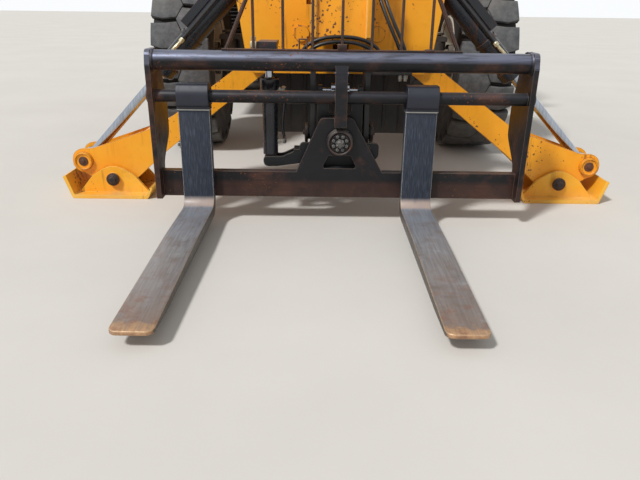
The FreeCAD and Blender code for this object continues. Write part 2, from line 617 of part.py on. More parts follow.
# Boom sections
def boom_outer():
    half_w, half_h = OUTER_W / 2, OUTER_H / 2
    shell = boom_block(-190, OUTER_L, -half_h, half_h, half_w)
    hollow = boom_block(-178, OUTER_L + 1, -half_h + OUTER_T, half_h - OUTER_T, half_w - OUTER_T)
    mouth = boom_block(OUTER_L - PAD_L, OUTER_L, -half_h + 1, half_h - 1, half_w - 1)
    mouth = mouth.cut(boom_block(OUTER_L - PAD_L - 1, OUTER_L + 1, -MID_H / 2 - RUN_GAP, MID_H / 2 + RUN_GAP,
                                 MID_W / 2 + RUN_GAP))
    collar = boom_block(OUTER_L - 170, OUTER_L, -half_h - COLLAR_T, half_h + COLLAR_T, half_w + COLLAR_T)
    collar = collar.cut(boom_block(OUTER_L - 171, OUTER_L + 1, -half_h + 1, half_h - 1, half_w - 1))
    tube = bar_x(-RAIL_X + RAIL_T + SAFE_GAP, RAIL_X - RAIL_T - SAFE_GAP, BOOM_Y, BOOM_PIVOT_Z, BOOM_TUBE_R)
    lug_y, lug_z = LIFT_LUG
    under = on_boom(LIFT_LUG_REACH + 190, -half_h + 2)
    behind = on_boom(LIFT_LUG_REACH - 190, -half_h + 2)
    lug = prism_x([under, (lug_y - 60, lug_z - 50, 50), (lug_y + 60, lug_z - 50, 50), behind], 66, 96)
    lug_boss = bar_x(95, 112, lug_y, lug_z, 45)
    body = fused([shell.cut(hollow), mouth, collar, tube] + both_sides(lug) + both_sides(lug_boss))
    return body.cut(bar_x(-RAIL_X, RAIL_X, BOOM_Y, BOOM_PIVOT_Z, BOOM_PIN_R + 0.1))


def boom_section(start, end, width, height, room_w, room_h, next_w, next_h):
    """A telescoping box: a pad ring at its rear fits the larger section, and its mouth guides the smaller."""
    shell = boom_block(start, end, -height / 2, height / 2, width / 2)
    ring = boom_block(start, start + PAD_L, -room_h / 2 + RUN_GAP, room_h / 2 - RUN_GAP, room_w / 2 - RUN_GAP)
    high, wide = height / 2, width / 2
    collar = boom_block(end - COLLAR_L, end, -high - COLLAR_T, high + COLLAR_T, wide + COLLAR_T)
    hollow = boom_block(start - 1, end - PAD_L, -high + INNER_T, high - INNER_T, wide - INNER_T)
    mouth = boom_block(end - PAD_L - 1, end + 1, -next_h / 2 - RUN_GAP, next_h / 2 + RUN_GAP,
                       next_w / 2 + RUN_GAP)
    return fused([shell, ring, collar]).cut(Part.makeCompound([hollow, mouth]))


def boom_mid():
    return boom_section(MID_START, MID_END, MID_W, MID_H, OUTER_W - 2 * OUTER_T, OUTER_H - 2 * OUTER_T,
                        INNER_W, INNER_H)


def head_outline():
    """(y, z) corners of one cheek of the boom head, from the flange down to the hitch pin."""
    flange_y, flange_z = on_boom(INNER_END + 20, 0)
    py, pz, r = HITCH_PIN_Y, HITCH_PIN_Z, HEAD_BOSS_R
    top, low = flange_z + INNER_H / 2 + 18, flange_z - INNER_H / 2 - 18
    return [
        (flange_y, low), (flange_y, top, 20), (py + 170, top - 10, 130), (py + 60, pz + 1020, 150),
        (py - 5, pz + 790, 300), (py - 50, pz + 450, 200), (py - r, pz + 250, 100), (py - r, pz - r, r - 2),
        (py + r, pz - r, r - 2), (py + r, pz + 150, 100), (py + 165, pz + 500, 150),
        (py + 215, pz + 700, 100), (flange_y, pz + 790, 60),
    ]


def boom_inner():
    half_h = INNER_H / 2
    py, pz = HITCH_PIN_Y, HITCH_PIN_Z
    shell = boom_block(INNER_START, INNER_END + 40, -half_h, half_h, INNER_W / 2)
    room_w, room_h = INNER_W / 2 - INNER_T, half_h - INNER_T
    hollow = boom_block(INNER_START - 1, INNER_END, -room_h, room_h, room_w)
    ring = boom_block(INNER_START, INNER_START + PAD_L, -MID_H / 2 + INNER_T + RUN_GAP,
                      MID_H / 2 - INNER_T - RUN_GAP, MID_W / 2 - INNER_T - RUN_GAP)
    flange = boom_block(INNER_END, INNER_END + 45, -half_h - 20, half_h + 20, HEAD_X)
    cheek = prism_x(head_outline(), HEAD_X - HEAD_T, HEAD_X)
    cheek = cheek.cut(bar_x(HEAD_X - HEAD_T - 1, HEAD_X + 1, py, pz, HITCH_PIN_R + RUN_GAP))
    notch_back = HOSE_Y + HOSE_R + HOSE_ROOM
    notch = prism_x([(HOSE_Y - 95, HOSE_TOP - 87), (notch_back, HOSE_TOP - 87, 15),
                     (notch_back, HOSE_TOP - 5, 15), (HOSE_Y - 95, HOSE_TOP - 5)],
                    HEAD_X - HEAD_T - 1, HEAD_X + 1)
    cheek = cheek.cut(notch)
    shelf = box(HEAD_X - 1, HEAD_X + 204, HOSE_Y - 14, HOSE_Y + 24, SERVICE_Z, SERVICE_Z + 14)
    inner = HEAD_X - HEAD_T + 1
    flange_y, flange_z = on_boom(INNER_END + 20, 0)
    top = flange_z + half_h
    cover = prism_x([(flange_y, top + 2), (py + 180, top - 15, 120), (py + 92, pz + 1010, 150),
                     (py + 16, pz + 788, 300), (py - 32, pz + 440), (py - 23, pz + 437),
                     (py + 25, pz + 786, 300), (py + 101, pz + 1006, 150), (py + 187, top - 24, 120),
                     (flange_y, top - 8)], -inner, inner)
    pin = bar_x(-HEAD_X - 10, HEAD_X + 10, py + TILT_BASE_BACK, pz + TILT_BASE_UP, TILT_PIN_R)
    return fused([shell.cut(hollow), ring.cut(hollow), flange, cover, pin, shelf] + both_sides(cheek))


def head_hoses():
    """Two hoses that arch across the boom head, and two that run down its +X cheek to service couplers."""
    drop = SERVICE_Z + 14 + SEAT_GAP - HOSE_TOP
    outer = [(50, -3), (100, -13), (145, -33), (180, -62), (197, -105), (197, drop + 20)]
    inner = [(46, -26), (92, -36), (132, -54), (160, -78), (174, -115), (174, drop + 20)]
    arches = []
    for crown, half in ((0, outer), (-23, inner)):
        route = [(-x, z) for x, z in reversed(half)] + [(0, crown)] + half
        arches.append(hose([Vector(x, HOSE_Y, HOSE_TOP + z) for x, z in route], HOSE_R))
    low = HOSE_TOP + drop
    ends = both_sides(box(HEAD_X, HEAD_X + 62, HOSE_Y - 13, HOSE_Y + 15, low, low + 25))
    y = HOSE_Y
    route = [(198, y + 114, 1205), (198, y + 110, 1150), (208, y + 86, 1100), (228, y + 51, 1040),
             (262, y + 20, 960), (300, y + 4, 880), (318, y + 2, 830), (322, y + 6, low + 40),
             (322, y + 6, low)]
    service = []
    for shift in (0, -HOSE_STEP):
        service.append(hose([Vector(x + shift, at, z) for x, at, z in route], HOSE_R))
        for z, size, length in ((low, 12, 34), (SERVICE_Z - SEAT_GAP - 30, 12, 30)):
            middle = Vector(322 + shift, y + 6, z)
            service.append(thin_bar(middle, middle + Vector(0, 0, length), size))
    clamp = box(HEAD_X, 215, y + 99, y + 129, 1190, 1215)
    nipples = [service.pop(5), service.pop(2)]
    return [fused(arches + ends), fused([clamp] + service)] + nipples


# Hydraulic cylinders
def ram(base, tip, pin_axis, barrel_r, rod_r, barrel_l, rod_start, bore_start, eye_half, eye_r,
        pin_r, pin_half):
    """Barrel and rod between two pins: the rod's eye carries its own pin, the barrel's is bored for one."""
    along = (tip - base).normalize()
    barrel = bar(base + along * (eye_r * 0.7), base + along * barrel_l, barrel_r)
    gland = bar(base + along * (barrel_l - barrel_r), base + along * barrel_l, barrel_r + 5)
    eye = bar(base - pin_axis * eye_half, base + pin_axis * eye_half, eye_r)
    bore = bar(base + along * bore_start, base + along * (barrel_l + 1), rod_r + RUN_GAP)
    hole = bar(base - pin_axis * (eye_half + 1), base + pin_axis * (eye_half + 1), pin_r + RUN_GAP)
    whole = fused([barrel, gland, eye]).cut(Part.makeCompound([bore, hole]))
    rod = bar(base + along * rod_start, tip, rod_r)
    rod_eye = bar(tip - pin_axis * eye_half, tip + pin_axis * eye_half, eye_r)
    pin = bar(tip - pin_axis * pin_half, tip + pin_axis * pin_half, pin_r)
    return whole, fused([rod, rod_eye, pin])


def stabiliser_ram():
    base = Vector(RAM_TOP_X, RAM_Y, RAM_TOP_Z)
    tip = Vector(RAM_FOOT_X, RAM_Y, RAM_FOOT_Z)
    barrel, rod = ram(base, tip, Vector(0, 1, 0), RAM_R, RAM_ROD_R, RAM_BARREL, 760, 120, 55, 52, 30,
                      (SLOT_Y1 - SLOT_Y0) / 2 - SEAT_GAP)
    along = (tip - base).normalize()
    square = Vector(-along.z, 0, along.x)
    middle = base + along * 420 + square * (RAM_R + 18)
    guard = box(-200, 200, -30, 30, -22, 22)
    guard.Placement = FreeCAD.Placement(middle, FreeCAD.Rotation(Vector(1, 0, 0), along))
    band = bar(base + along * 640, base + along * 660, RAM_R + 6)
    bore = bar(base + along * 600, base + along * 700, RAM_ROD_R + RUN_GAP)
    return fused([barrel, guard, band.cut(bore)]), rod


def lift_ram():
    base = Vector(0, LIFT_BASE_Y, LIFT_BASE_Z)
    tip = Vector(0, LIFT_LUG[0], LIFT_LUG[1])
    return ram(base, tip, Vector(1, 0, 0), LIFT_R, LIFT_ROD_R, LIFT_BARREL, 110, 90, 60, 62, 40, 65.7)


def tilt_ram():
    base = Vector(0, HITCH_PIN_Y + TILT_BASE_BACK, HITCH_PIN_Z + TILT_BASE_UP)
    tip = Vector(0, HITCH_PIN_Y - TILT_ARM_FORWARD, HITCH_PIN_Z + TILT_ARM_UP)
    return ram(base, tip, Vector(1, 0, 0), TILT_R, TILT_ROD_R, TILT_BARREL, 120, 75, 45, 46, TILT_PIN_R,
               EAR_IN - SEAT_GAP)


def sway_ram():
    base = Vector(SWAY_CYL_X, SWAY_CYL_Y, SWAY_FOOT_Z)
    tip = Vector(SWAY_CYL_X, SWAY_CYL_Y, SWAY_TOP_Z)
    return ram(base, tip, Vector(0, 1, 0), 38, 20, 400, 120, 60, SWAY_EYE_HALF, 32, SWAY_CYL_PIN_R,
               SWAY_EYE_HALF + 3.7)


# Hitch, fork carriage and forks
def hitch():
    """The coupling head: a plate with two ears on the boom's pin, and the carriage's pin ahead of it."""
    py, pz = HITCH_PIN_Y, HITCH_PIN_Z
    front, back = py - 115, py - 97
    wide, narrow = 200, EAR_IN + EAR_T + 2
    plate = prism_y([(-wide, 330, 30), (-120, 270, 30), (120, 270, 30), (wide, 330, 30), (wide, 400, 20),
                     (narrow, 400, 10), (narrow, 640, 20), (64, 640, 20), (52, 540, 20), (-52, 540, 20),
                     (-64, 640, 20), (-narrow, 640, 20), (-narrow, 400, 10), (-wide, 400, 20)], front, back)
    ear = prism_x([(back - 2, pz - 120), (back - 2, pz + 190),
                   (py - TILT_ARM_FORWARD - 40, pz + TILT_ARM_UP + 40, 40),
                   (py - TILT_ARM_FORWARD + 40, pz + TILT_ARM_UP + 35, 40), (py + 70, pz + 40, 60),
                   (py + 62, pz - 72, 60), (py - 40, pz - 90, 60)], EAR_IN, EAR_IN + EAR_T)
    pin = bar_x(-HEAD_X - 18, HEAD_X + 18, py, pz, HITCH_PIN_R)
    swing_pin = bar_y(SHANK_Y + 26, back, 0, SWAY_PIN_Z, SWAY_PIN_R)
    cap = bar_y(SHANK_Y + 12, SHANK_Y + 27, 0, SWAY_PIN_Z, SWAY_PIN_R + 14)
    arm_outline = [(-150, 300, 10), (-150, 390, 10), (SWAY_CYL_X + 60, SWAY_FOOT_Z + 16, 30),
                   (SWAY_CYL_X - 34, SWAY_FOOT_Z + 16, 16), (SWAY_CYL_X - 34, SWAY_FOOT_Z - 34, 30),
                   (SWAY_CYL_X + 30, SWAY_FOOT_Z - 34, 30)]
    arm_front = prism_y(arm_outline, front, SWAY_CYL_Y - SWAY_EYE_HALF - 4)
    arm_back = prism_y(arm_outline, SWAY_CYL_Y + SWAY_EYE_HALF + 4, SWAY_CYL_Y + SWAY_EYE_HALF + 20)
    spacer = box(-230, -180, front, SWAY_CYL_Y + SWAY_EYE_HALF + 20, 325, 365)
    foot_pin = bar_y(front, SWAY_CYL_Y + SWAY_EYE_HALF + 20, SWAY_CYL_X, SWAY_FOOT_Z, SWAY_CYL_PIN_R)
    bosses = both_sides(bar_y(front - 10, front + 2, 135, 368, 24))
    arms = [arm_front, arm_back, spacer, foot_pin]
    return fused([plate, pin, swing_pin, cap] + arms + both_sides(ear) + bosses)


def fork_carriage():
    s = SHANK_Y
    half = CARRIAGE_W / 2
    side = prism_x([(s - 6, 130, 15), (s + 80, 130, 20), (s + 102, 165, 30), (s + 108, 300, 60),
                    (s + 250, 420, 60), (s + 250, 560, 60), (s + 150, 850, 60), (s - 10, 850, 30),
                    (s - 26, 780, 30)],
                   half - CARRIAGE_SIDE_T, half)
    tube = bar_x(-half + 1, half - 1, s + 30, TOP_TUBE_Z, TOP_TUBE_R)
    shaft = bar_x(-half - 12, half + 12, s + 30, FORK_SHAFT_Z, FORK_SHAFT_R)
    beam = box(-half + 1, half - 1, s + FORK_T + SEAT_GAP, s + FORK_T + BEAM_T, BEAM_LOW, BEAM_HIGH)
    y0, y1 = s + FORK_T + SEAT_GAP, s + FORK_T + BEAM_T
    bracket = prism_y([(-215, BEAM_HIGH - 2), (215, BEAM_HIGH - 2), (62, 535, 25), (-95, 535, 25)], y0, y1)
    gap = prism_y([(-88, 284, 10), (88, 284, 10), (55, 350, 10), (-55, 350, 10)], y0 - 1, y1 + 1)
    hub = bar_y(s + 30, s + 108, 0, SWAY_PIN_Z, SWAY_HUB_R)
    stem = box(-29, 29, s - 14, s + 8, 500, TOP_TUBE_Z)
    link = box(-29, 29, s + 6, s + FORK_T + 4, 500, 532)
    lug_y1 = SWAY_CYL_Y - 32
    lug_front, lug_back = SWAY_CYL_Y - SWAY_EYE_HALF - 4, SWAY_CYL_Y + SWAY_EYE_HALF + 4
    x0, x1 = SWAY_CYL_X - 45, SWAY_CYL_X + 45
    top_block = box(x0, x1, s + 46, lug_front, SWAY_TOP_Z - 36, SWAY_TOP_Z + 56)
    top_cap = box(x0, x1, lug_front - 2, lug_back + 18, SWAY_TOP_Z + 38, SWAY_TOP_Z + 56)
    rear_lug = box(x0 + 13, x1 - 13, lug_back, lug_back + 18, SWAY_TOP_Z - 32, SWAY_TOP_Z + 40)
    middle = [tube, shaft, beam, bracket.cut(gap), hub, stem, link, top_block, top_cap, rear_lug]
    whole = fused(both_sides(side) + middle)
    return whole.cut(bar_y(s, s + 130, 0, SWAY_PIN_Z, SWAY_PIN_R + RUN_GAP))


def load_backrest():
    s = SHANK_Y + 30
    low = TOP_TUBE_Z + TOP_TUBE_R + SEAT_GAP
    half = 3 * BAR_PITCH + 12
    bars = [thin_bar(Vector(k * BAR_PITCH, s, low + 4), Vector(k * BAR_PITCH, s, BACKREST_TOP), BAR_R)
            for k in range(-3, 4)]
    rail = box(-half, half, s - 9, s + 9, BACKREST_TOP - 10, BACKREST_TOP + 25)
    foot = box(-BRACE_FOOT_X - 20, BRACE_FOOT_X + 20, s - 12, s + 12, low, low + 8)
    brace = thin_bar(Vector(BRACE_FOOT_X, s, low + 4), Vector(3 * BAR_PITCH, s, BRACE_TOP_Z), BAR_R + 3)
    return fused(bars + [rail, foot] + both_sides(brace))


def fork(x):
    s, low = SHANK_Y, FORK_LOW
    tip = s - BLADE_LENGTH
    side = prism_x([(s + FORK_T, 600), (s + FORK_T, low, 95), (tip + 200, low), (tip, low + 8),
                    (tip, low + 8 + TIP_T), (s - 420, low + FORK_T), (s, low + FORK_T, 55), (s, 600)],
                   x - FORK_W / 2, x + FORK_W / 2)
    plan = prism_z([(x - FORK_W / 2, s + 100), (x - FORK_W / 2, tip + 90), (x - FORK_W / 2 + 22, tip, 22),
                    (x + FORK_W / 2 - 22, tip, 22), (x + FORK_W / 2, tip + 90), (x + FORK_W / 2, s + 100)],
                   low - 10, 700)
    eye = prism_x([(s - 24, 592, 20), (s + 84, 592, 20), (s + 89, FORK_SHAFT_Z + 20, 40),
                   (s + 70, FORK_SHAFT_Z + 60, 30), (s - 8, FORK_SHAFT_Z + 60, 30),
                   (s - 29, FORK_SHAFT_Z + 20, 40)], x - FORK_W / 2, x + FORK_W / 2)
    step = box(x - FORK_W / 2 - 5, x + FORK_W / 2 + 5, s - 9, s + 45, 574, 593)
    whole = fused([side.common(plan), eye, step])
    return whole.cut(bar_x(x - FORK_W, x + FORK_W, s + 30, FORK_SHAFT_Z, FORK_SHAFT_R + RUN_GAP))


# Cab, engine pod, tank and tail
DOOR_Y0, DOOR_Y1 = SIDE_Y0 + 70, SIDE_Y1 - 420
DOOR_T = 36.0
HINGE_X, HINGE_Y = CAB_OUT + 14, DOOR_Y1 + 4
HINGE_Z = (1180, CAB_TOP - 360)
HINGE_H = 80.0
HINGE_R = 14.0
HINGE_PIN_R = 7.0


def cab_profile(inset):
    """(y, z) corners of the cab seen from its side, moved in from the outer skin."""
    y0, y1, i = SIDE_Y0, SIDE_Y1, inset
    return [(y0 + i, CAB_LOW + i, 60), (y0 + i, 1500, 120), (y0 + 215 + i, CAB_TOP - 75 - i, 120),
            (y0 + 320 + i, CAB_TOP - i, 100), (y1 - 110 - i, CAB_TOP - i, 100),
            (y1 - i, CAB_TOP - 110 - i, 100), (y1 - i, 1420, 120), (y1 - 120 - i, CAB_LOW + i, 60)]


def door_outline(inset):
    y0, y1, i = DOOR_Y0, DOOR_Y1, inset
    return [(y0 + i, CAB_LOW + 60 + i, 60), (y0 + i, 1480, 120), (y0 + 210 + i, CAB_TOP - 130 - i, 120),
            (y1 - i, CAB_TOP - 130 - i, 80), (y1 - i, CAB_LOW + 60 + i, 60)]


def door_window(inset):
    y0, y1, i = DOOR_Y0 + 60, DOOR_Y1 - 60, inset
    return [(y0 + 15 + i, 1360 + i, 60), (y0 + 15 + i, 1500, 120), (y0 + 200 + i, CAB_TOP - 200 - i, 100),
            (y1 - i, CAB_TOP - 200 - i, 60), (y1 - i, 1360 + i, 60)]


def quarter_window(inset):
    y0, y1, i = DOOR_Y1 + 55, SIDE_Y1 - 60, inset
    return [(y0 + i, 1420 + i, 50), (y1 - i, 1420 + i, 50), (y1 - i, CAB_TOP - 190 - i, 60),
            (y0 + i, CAB_TOP - 190 - i, 50)]


def inner_window(inset):
    y0, y1, i = SIDE_Y0 + 120, SIDE_Y1 - 90, inset
    return [(y0 + i, 1380 + i, 60), (y0 + 130 + i, CAB_TOP - 190 - i, 100), (y1 - i, CAB_TOP - 190 - i, 60),
            (y1 - i, 1380 + i, 60)]


def pane_outline(x_inset, low, high):
    """(x, z) corners of the front and rear panes."""
    x0, x1 = CAB_IN + x_inset, CAB_OUT - x_inset
    return [(x0, low, 50), (x0, high, 50), (x1, high, 50), (x1, low, 50)]


def end_windows(inset):
    """Cutters of the windscreen, the rear window and the roof window."""
    i = inset
    front = prism_y(pane_outline(75 + i, 1180 + i, CAB_TOP - 150 - i), SIDE_Y0 - 5, SIDE_Y0 + 300)
    rear = prism_y(pane_outline(75 + i, 1440 + i, CAB_TOP - 190 - i), SIDE_Y1 - 160, SIDE_Y1 + 5)
    x0, x1, y0, y1 = CAB_IN + 80 + i, CAB_OUT - 80 - i, SIDE_Y0 + 380 + i, SIDE_Y1 - 260 - i
    roof = prism_z([(x0, y0, 40), (x1, y0, 40), (x1, y1, 40), (x0, y1, 40)], CAB_TOP - 100, CAB_TOP + 5)
    return [front, rear, roof]


def cab_shell():
    wall = CAB_WALL
    outer = prism_x(cab_profile(0), CAB_IN, CAB_OUT)
    hollow = prism_x(cab_profile(wall), CAB_IN + wall, CAB_OUT - wall)
    door = prism_x(door_outline(0), CAB_OUT - wall - 5, CAB_OUT + 5)
    quarter = prism_x(quarter_window(0), CAB_OUT - wall - 5, CAB_OUT + 5)
    inner = prism_x(inner_window(0), CAB_IN - 5, CAB_IN + wall + 5)
    whole = outer.cut(hollow)
    for window in [door, quarter, inner] + end_windows(0):
        whole = whole.cut(window)
    bars = [box(CAB_IN + 40, CAB_OUT - 40, y, y + 22, CAB_TOP - wall / 2 + 2, CAB_TOP - 2)
            for y in [SIDE_Y0 + 380 + (SIDE_LENGTH - 640) * k / 5 for k in range(1, 5)]]
    hinges = []
    for z in HINGE_Z:
        hinges.append(bar_z(z - 24, z + HINGE_H + 24, HINGE_X, HINGE_Y, HINGE_PIN_R))
        for low in (z - 24, z + HINGE_H + 4):
            hinges.append(bar_z(low, low + 20, HINGE_X, HINGE_Y, HINGE_R))
            hinges.append(box(CAB_OUT - 4, HINGE_X, HINGE_Y + 4, HINGE_Y + 60, low, low + 20))
            hinges.append(box(HINGE_X - HINGE_R, HINGE_X, HINGE_Y, HINGE_Y + 10, low, low + 20))
    return fused([whole] + bars + hinges)


def cab_glass():
    """Fixed panes, each seated inside its window."""
    mid = CAB_WALL / 2
    quarter = prism_x(quarter_window(SEAT_GAP), CAB_OUT - mid - GLASS_T, CAB_OUT - mid)
    inner = prism_x(inner_window(SEAT_GAP), CAB_IN + mid, CAB_IN + mid + GLASS_T)
    skin = prism_x(cab_profile(mid), CAB_IN, CAB_OUT)
    skin = skin.cut(prism_x(cab_profile(mid + GLASS_T), CAB_IN - 1, CAB_OUT + 1))
    return [quarter, inner] + [skin.common(cut) for cut in end_windows(SEAT_GAP)]


def cab_door():
    leaf = prism_x(door_outline(5), CAB_OUT - DOOR_T - 3, CAB_OUT - 3)
    window = prism_x(door_window(0), CAB_OUT - DOOR_T - 5, CAB_OUT)
    handle = thin_bar(Vector(CAB_OUT + 28, DOOR_Y0 + 90, 1235), Vector(CAB_OUT + 28, DOOR_Y0 + 90, 1395), 10)
    posts = [thin_bar(Vector(CAB_OUT - 5, DOOR_Y0 + 90, z), Vector(CAB_OUT + 30, DOOR_Y0 + 90, z), 8)
             for z in (1245, 1385)]
    whole = [leaf.cut(window), handle] + posts
    for z in HINGE_Z:
        whole.append(bar_z(z, z + HINGE_H, HINGE_X, HINGE_Y, HINGE_R))
        whole.append(box(CAB_OUT - 6, HINGE_X, HINGE_Y - 60, DOOR_Y1 - 6, z, z + HINGE_H))
        whole.append(box(CAB_OUT + 3, HINGE_X, DOOR_Y1 - 7, HINGE_Y, z, z + HINGE_H))
    pins = [bar_z(z - 5, z + HINGE_H + 5, HINGE_X, HINGE_Y, HINGE_PIN_R + RUN_GAP) for z in HINGE_Z]
    return fused(whole).cut(Part.makeCompound(pins))


def door_glass():
    middle = CAB_OUT - 3 - DOOR_T / 2
    return prism_x(door_window(SEAT_GAP), middle - GLASS_T / 2, middle + GLASS_T / 2)


def seat():
    y0 = SIDE_Y1 - 710
    x0, x1 = (CAB_IN + CAB_OUT) / 2 - 230, (CAB_IN + CAB_OUT) / 2 + 250
    base = prism_x([(y0 + 40, CAB_LOW + CAB_WALL), (y0 + 60, 1260, 30), (y0 + 430, 1260, 30),
                    (y0 + 450, CAB_LOW + CAB_WALL)], x0 + 60, x1 - 60)
    cushion = prism_x([(y0, 1255, 30), (y0, 1370, 60), (y0 + 470, 1340, 40), (y0 + 470, 1255, 20)], x0, x1)
    back = prism_x([(y0 + 400, 1310, 30), (y0 + 500, 1330, 30), (y0 + 560, 1960, 60), (y0 + 470, 1970, 60),
                    (y0 + 420, 1600, 60)], x0 + 20, x1 - 20)
    return fused([base, cushion, back])


def dash():
    y0 = SIDE_Y0 + CAB_WALL
    x0, x1 = CAB_IN + CAB_WALL, CAB_OUT - CAB_WALL
    console = prism_x([(y0, 1100), (y0, 1420, 30), (y0 + 60, 1460, 40), (y0 + 190, 1400, 40),
                       (y0 + 120, 1100, 60)], x0, x1)
    base, top = steering_column()
    column = bar(base, top, 30)
    return fused([console, column])


def steering_column():
    base = Vector(745, SIDE_Y0 + 150, 1200)
    top = base + Vector(0, 0.55, 0.835).normalize() * 430
    return base, top


def steering_wheel():
    base, top = steering_column()
    along = (top - base).normalize()
    grip = [(15 * math.cos(a), 185 + 15 * math.sin(a)) for a in (math.pi * k / 4 for k in range(8))]
    ring = faceted(grip, 0, 0, WHEEL_SIDES)
    ring.Placement = FreeCAD.Placement(top + along * 40, FreeCAD.Rotation(Vector(1, 0, 0), along))
    hub = bar(top + along * SEAT_GAP, top + along * 52, 42)
    side = Vector(1, 0, 0)
    down = along.cross(side)
    spokes = []
    for a in (0, 120, 240):
        turn = math.radians(a + 90)
        out = side * math.cos(turn) + down * math.sin(turn)
        spokes.append(thin_bar(top + along * 36 + out * 20, top + along * 40 + out * 180, 9))
    return fused([ring, hub] + spokes)


BONNET_HINGE_X, BONNET_HINGE_Z = -POD_IN + 18, POD_TOP + 8
BONNET_HINGE_Y = (SIDE_Y0 + 240, SIDE_Y1 - 320)


def pod_outline(inset):
    """(x, z) corners of the engine pod seen from the front, open along its top and outer side."""
    i = inset
    return [(-POD_IN, POD_TOP - i), (-1040, POD_TOP - 30 - i, 150), (-POD_OUT + i, POD_TOP - 160, 100),
            (-POD_OUT + i, POD_SPLIT)]


def engine_tray():
    y0, y1 = SIDE_Y0, SIDE_Y1
    i = SHEET + SEAT_GAP
    inner = box(-POD_IN - SHEET, -POD_IN, y0, y1, POD_LOW, POD_TOP - i - 0.5)
    floor = box(-POD_OUT, -POD_IN, y0, y1, POD_LOW, POD_LOW + SHEET)
    outer = box(-POD_OUT, -POD_OUT + SHEET, y0, y1, POD_LOW, POD_SPLIT - 5)
    end_outline = pod_outline(i) + [(-POD_OUT + i, POD_SPLIT - 20), (-POD_OUT, POD_SPLIT - 20),
                                    (-POD_OUT, POD_LOW), (-POD_IN, POD_LOW)]
    front = prism_y(end_outline, y0, y0 + SHEET)
    rear = prism_y(end_outline, y1 - SHEET, y1)
    brackets = [box(-RAIL_X, -POD_IN, y, y + 90, POD_LOW, POD_LOW + 120) for y in (y0 + 140, y1 - 230)]
    hinges = []
    for y in BONNET_HINGE_Y:
        hinges.append(bar_y(y - 24, y + HINGE_H + 24, BONNET_HINGE_X, BONNET_HINGE_Z, HINGE_PIN_R))
        for low in (y - 24, y + HINGE_H + 4):
            hinges.append(bar_y(low, low + 20, BONNET_HINGE_X, BONNET_HINGE_Z, HINGE_R))
            hinges.append(box(-POD_IN - 1, BONNET_HINGE_X, low, low + 20, POD_TOP - 70, POD_TOP - SHEET - 3))
            hinges.append(box(-POD_IN + SEAT_GAP, BONNET_HINGE_X, low, low + 20, POD_TOP - 70,
                              BONNET_HINGE_Z))
    return fused([inner, floor, outer, front, rear] + brackets + hinges)


def engine_bonnet():
    skin = prism_y(pod_outline(0) + list(reversed(pod_outline(SHEET))), SIDE_Y0 - 2, SIDE_Y1 + 2)
    rows = int((POD_TOP - 160 - POD_SPLIT - 80) // LOUVRE_PITCH)
    louvres = []
    for y in (SIDE_Y0 + 150, SIDE_Y0 + SIDE_LENGTH / 2 + 60):
        for k in range(rows):
            z = POD_SPLIT + 60 + k * LOUVRE_PITCH
            louvres.append(box(-POD_OUT - 1, -POD_OUT + SHEET + 1, y, y + SIDE_LENGTH / 2 - 210,
                               z, z + LOUVRE_H))
    skin = skin.cut(Part.makeCompound(louvres))
    knuckles = []
    for y in BONNET_HINGE_Y:
        knuckles.append(bar_y(y, y + HINGE_H, BONNET_HINGE_X, BONNET_HINGE_Z, HINGE_R))
        knuckles.append(box(-POD_IN - 40, BONNET_HINGE_X, y, y + HINGE_H, POD_TOP - 1, POD_TOP + 8))
    pins = [bar_y(y - 5, y + HINGE_H + 5, BONNET_HINGE_X, BONNET_HINGE_Z, HINGE_PIN_R + RUN_GAP)
            for y in BONNET_HINGE_Y]
    return fused([skin] + knuckles).cut(Part.makeCompound(pins))


def exhaust():
    """A silencer and stack that stand on the pod's inner wall, clear of the boom."""
    y = SIDE_Y1 - 150
    wall = -POD_IN
    pipe = hose([Vector(wall, y, 1120), Vector(wall + 70, y, 1120), Vector(EXHAUST_X - 15, y, 1130),
                 Vector(EXHAUST_X, y, 1165), Vector(EXHAUST_X, y, 1980), Vector(EXHAUST_X, y + 70, 2080)],
                EXHAUST_R, 12)
    silencer = thin_bar(Vector(EXHAUST_X, y, 1210), Vector(EXHAUST_X, y, 1640), MUFFLER_R, 16)
    clips = [box(wall, EXHAUST_X, y - 20, y + 20, z, z + 25) for z in (1260, 1400)]
    return fused([pipe, silencer] + clips)


def mirrors():
    """A mirror on the cab's front post, and one on a post at the front of the engine pod."""
    def glass_head(x, y, z):
        face = [(x - MIRROR_W / 2, z - MIRROR_H / 2, 40), (x + MIRROR_W / 2, z - MIRROR_H / 2, 40),
                (x + MIRROR_W / 2, z + MIRROR_H / 2, 40), (x - MIRROR_W / 2, z + MIRROR_H / 2, 40)]
        return prism_y(face, y, y + 30)
    y = SIDE_Y0 + 120
    arm = hose([Vector(CAB_OUT, y, 1780), Vector(CAB_OUT + 30, y, 1780), Vector(CAB_OUT + 100, y - 60, 1800),
                Vector(CAB_OUT + 145, y - 70, 1800)], 11)
    cab_mirror = fused([arm, glass_head(CAB_OUT + 190, y - 85, 1800)])
    x, front = -POD_OUT + 100, SIDE_Y0 - 26
    foot = box(x - 25, x + 25, front - 12, SIDE_Y0, 820, 900)
    post = hose([Vector(x, front, 840), Vector(x, front, 1700), Vector(x - 60, front, 1780)], 12)
    pod_mirror = fused([foot, post, glass_head(x - 120, front - 18, 1810)])
    return [cab_mirror, pod_mirror]


def engine_block():
    y0, y1, x = SIDE_Y0 + 180, SIDE_Y1 - 450, -(POD_IN + POD_OUT) / 2
    block = box(x - 275, x + 285, y0, y1, POD_LOW + SHEET, POD_TOP - 320)
    head = box(x - 175, x + 185, y0 + 60, y1 - 140, POD_TOP - 322, POD_TOP - 160)
    gearbox = box(x - 195, x + 205, y1, y1 + 230, POD_LOW + SHEET, POD_TOP - 440)
    return fused([block, head, gearbox])


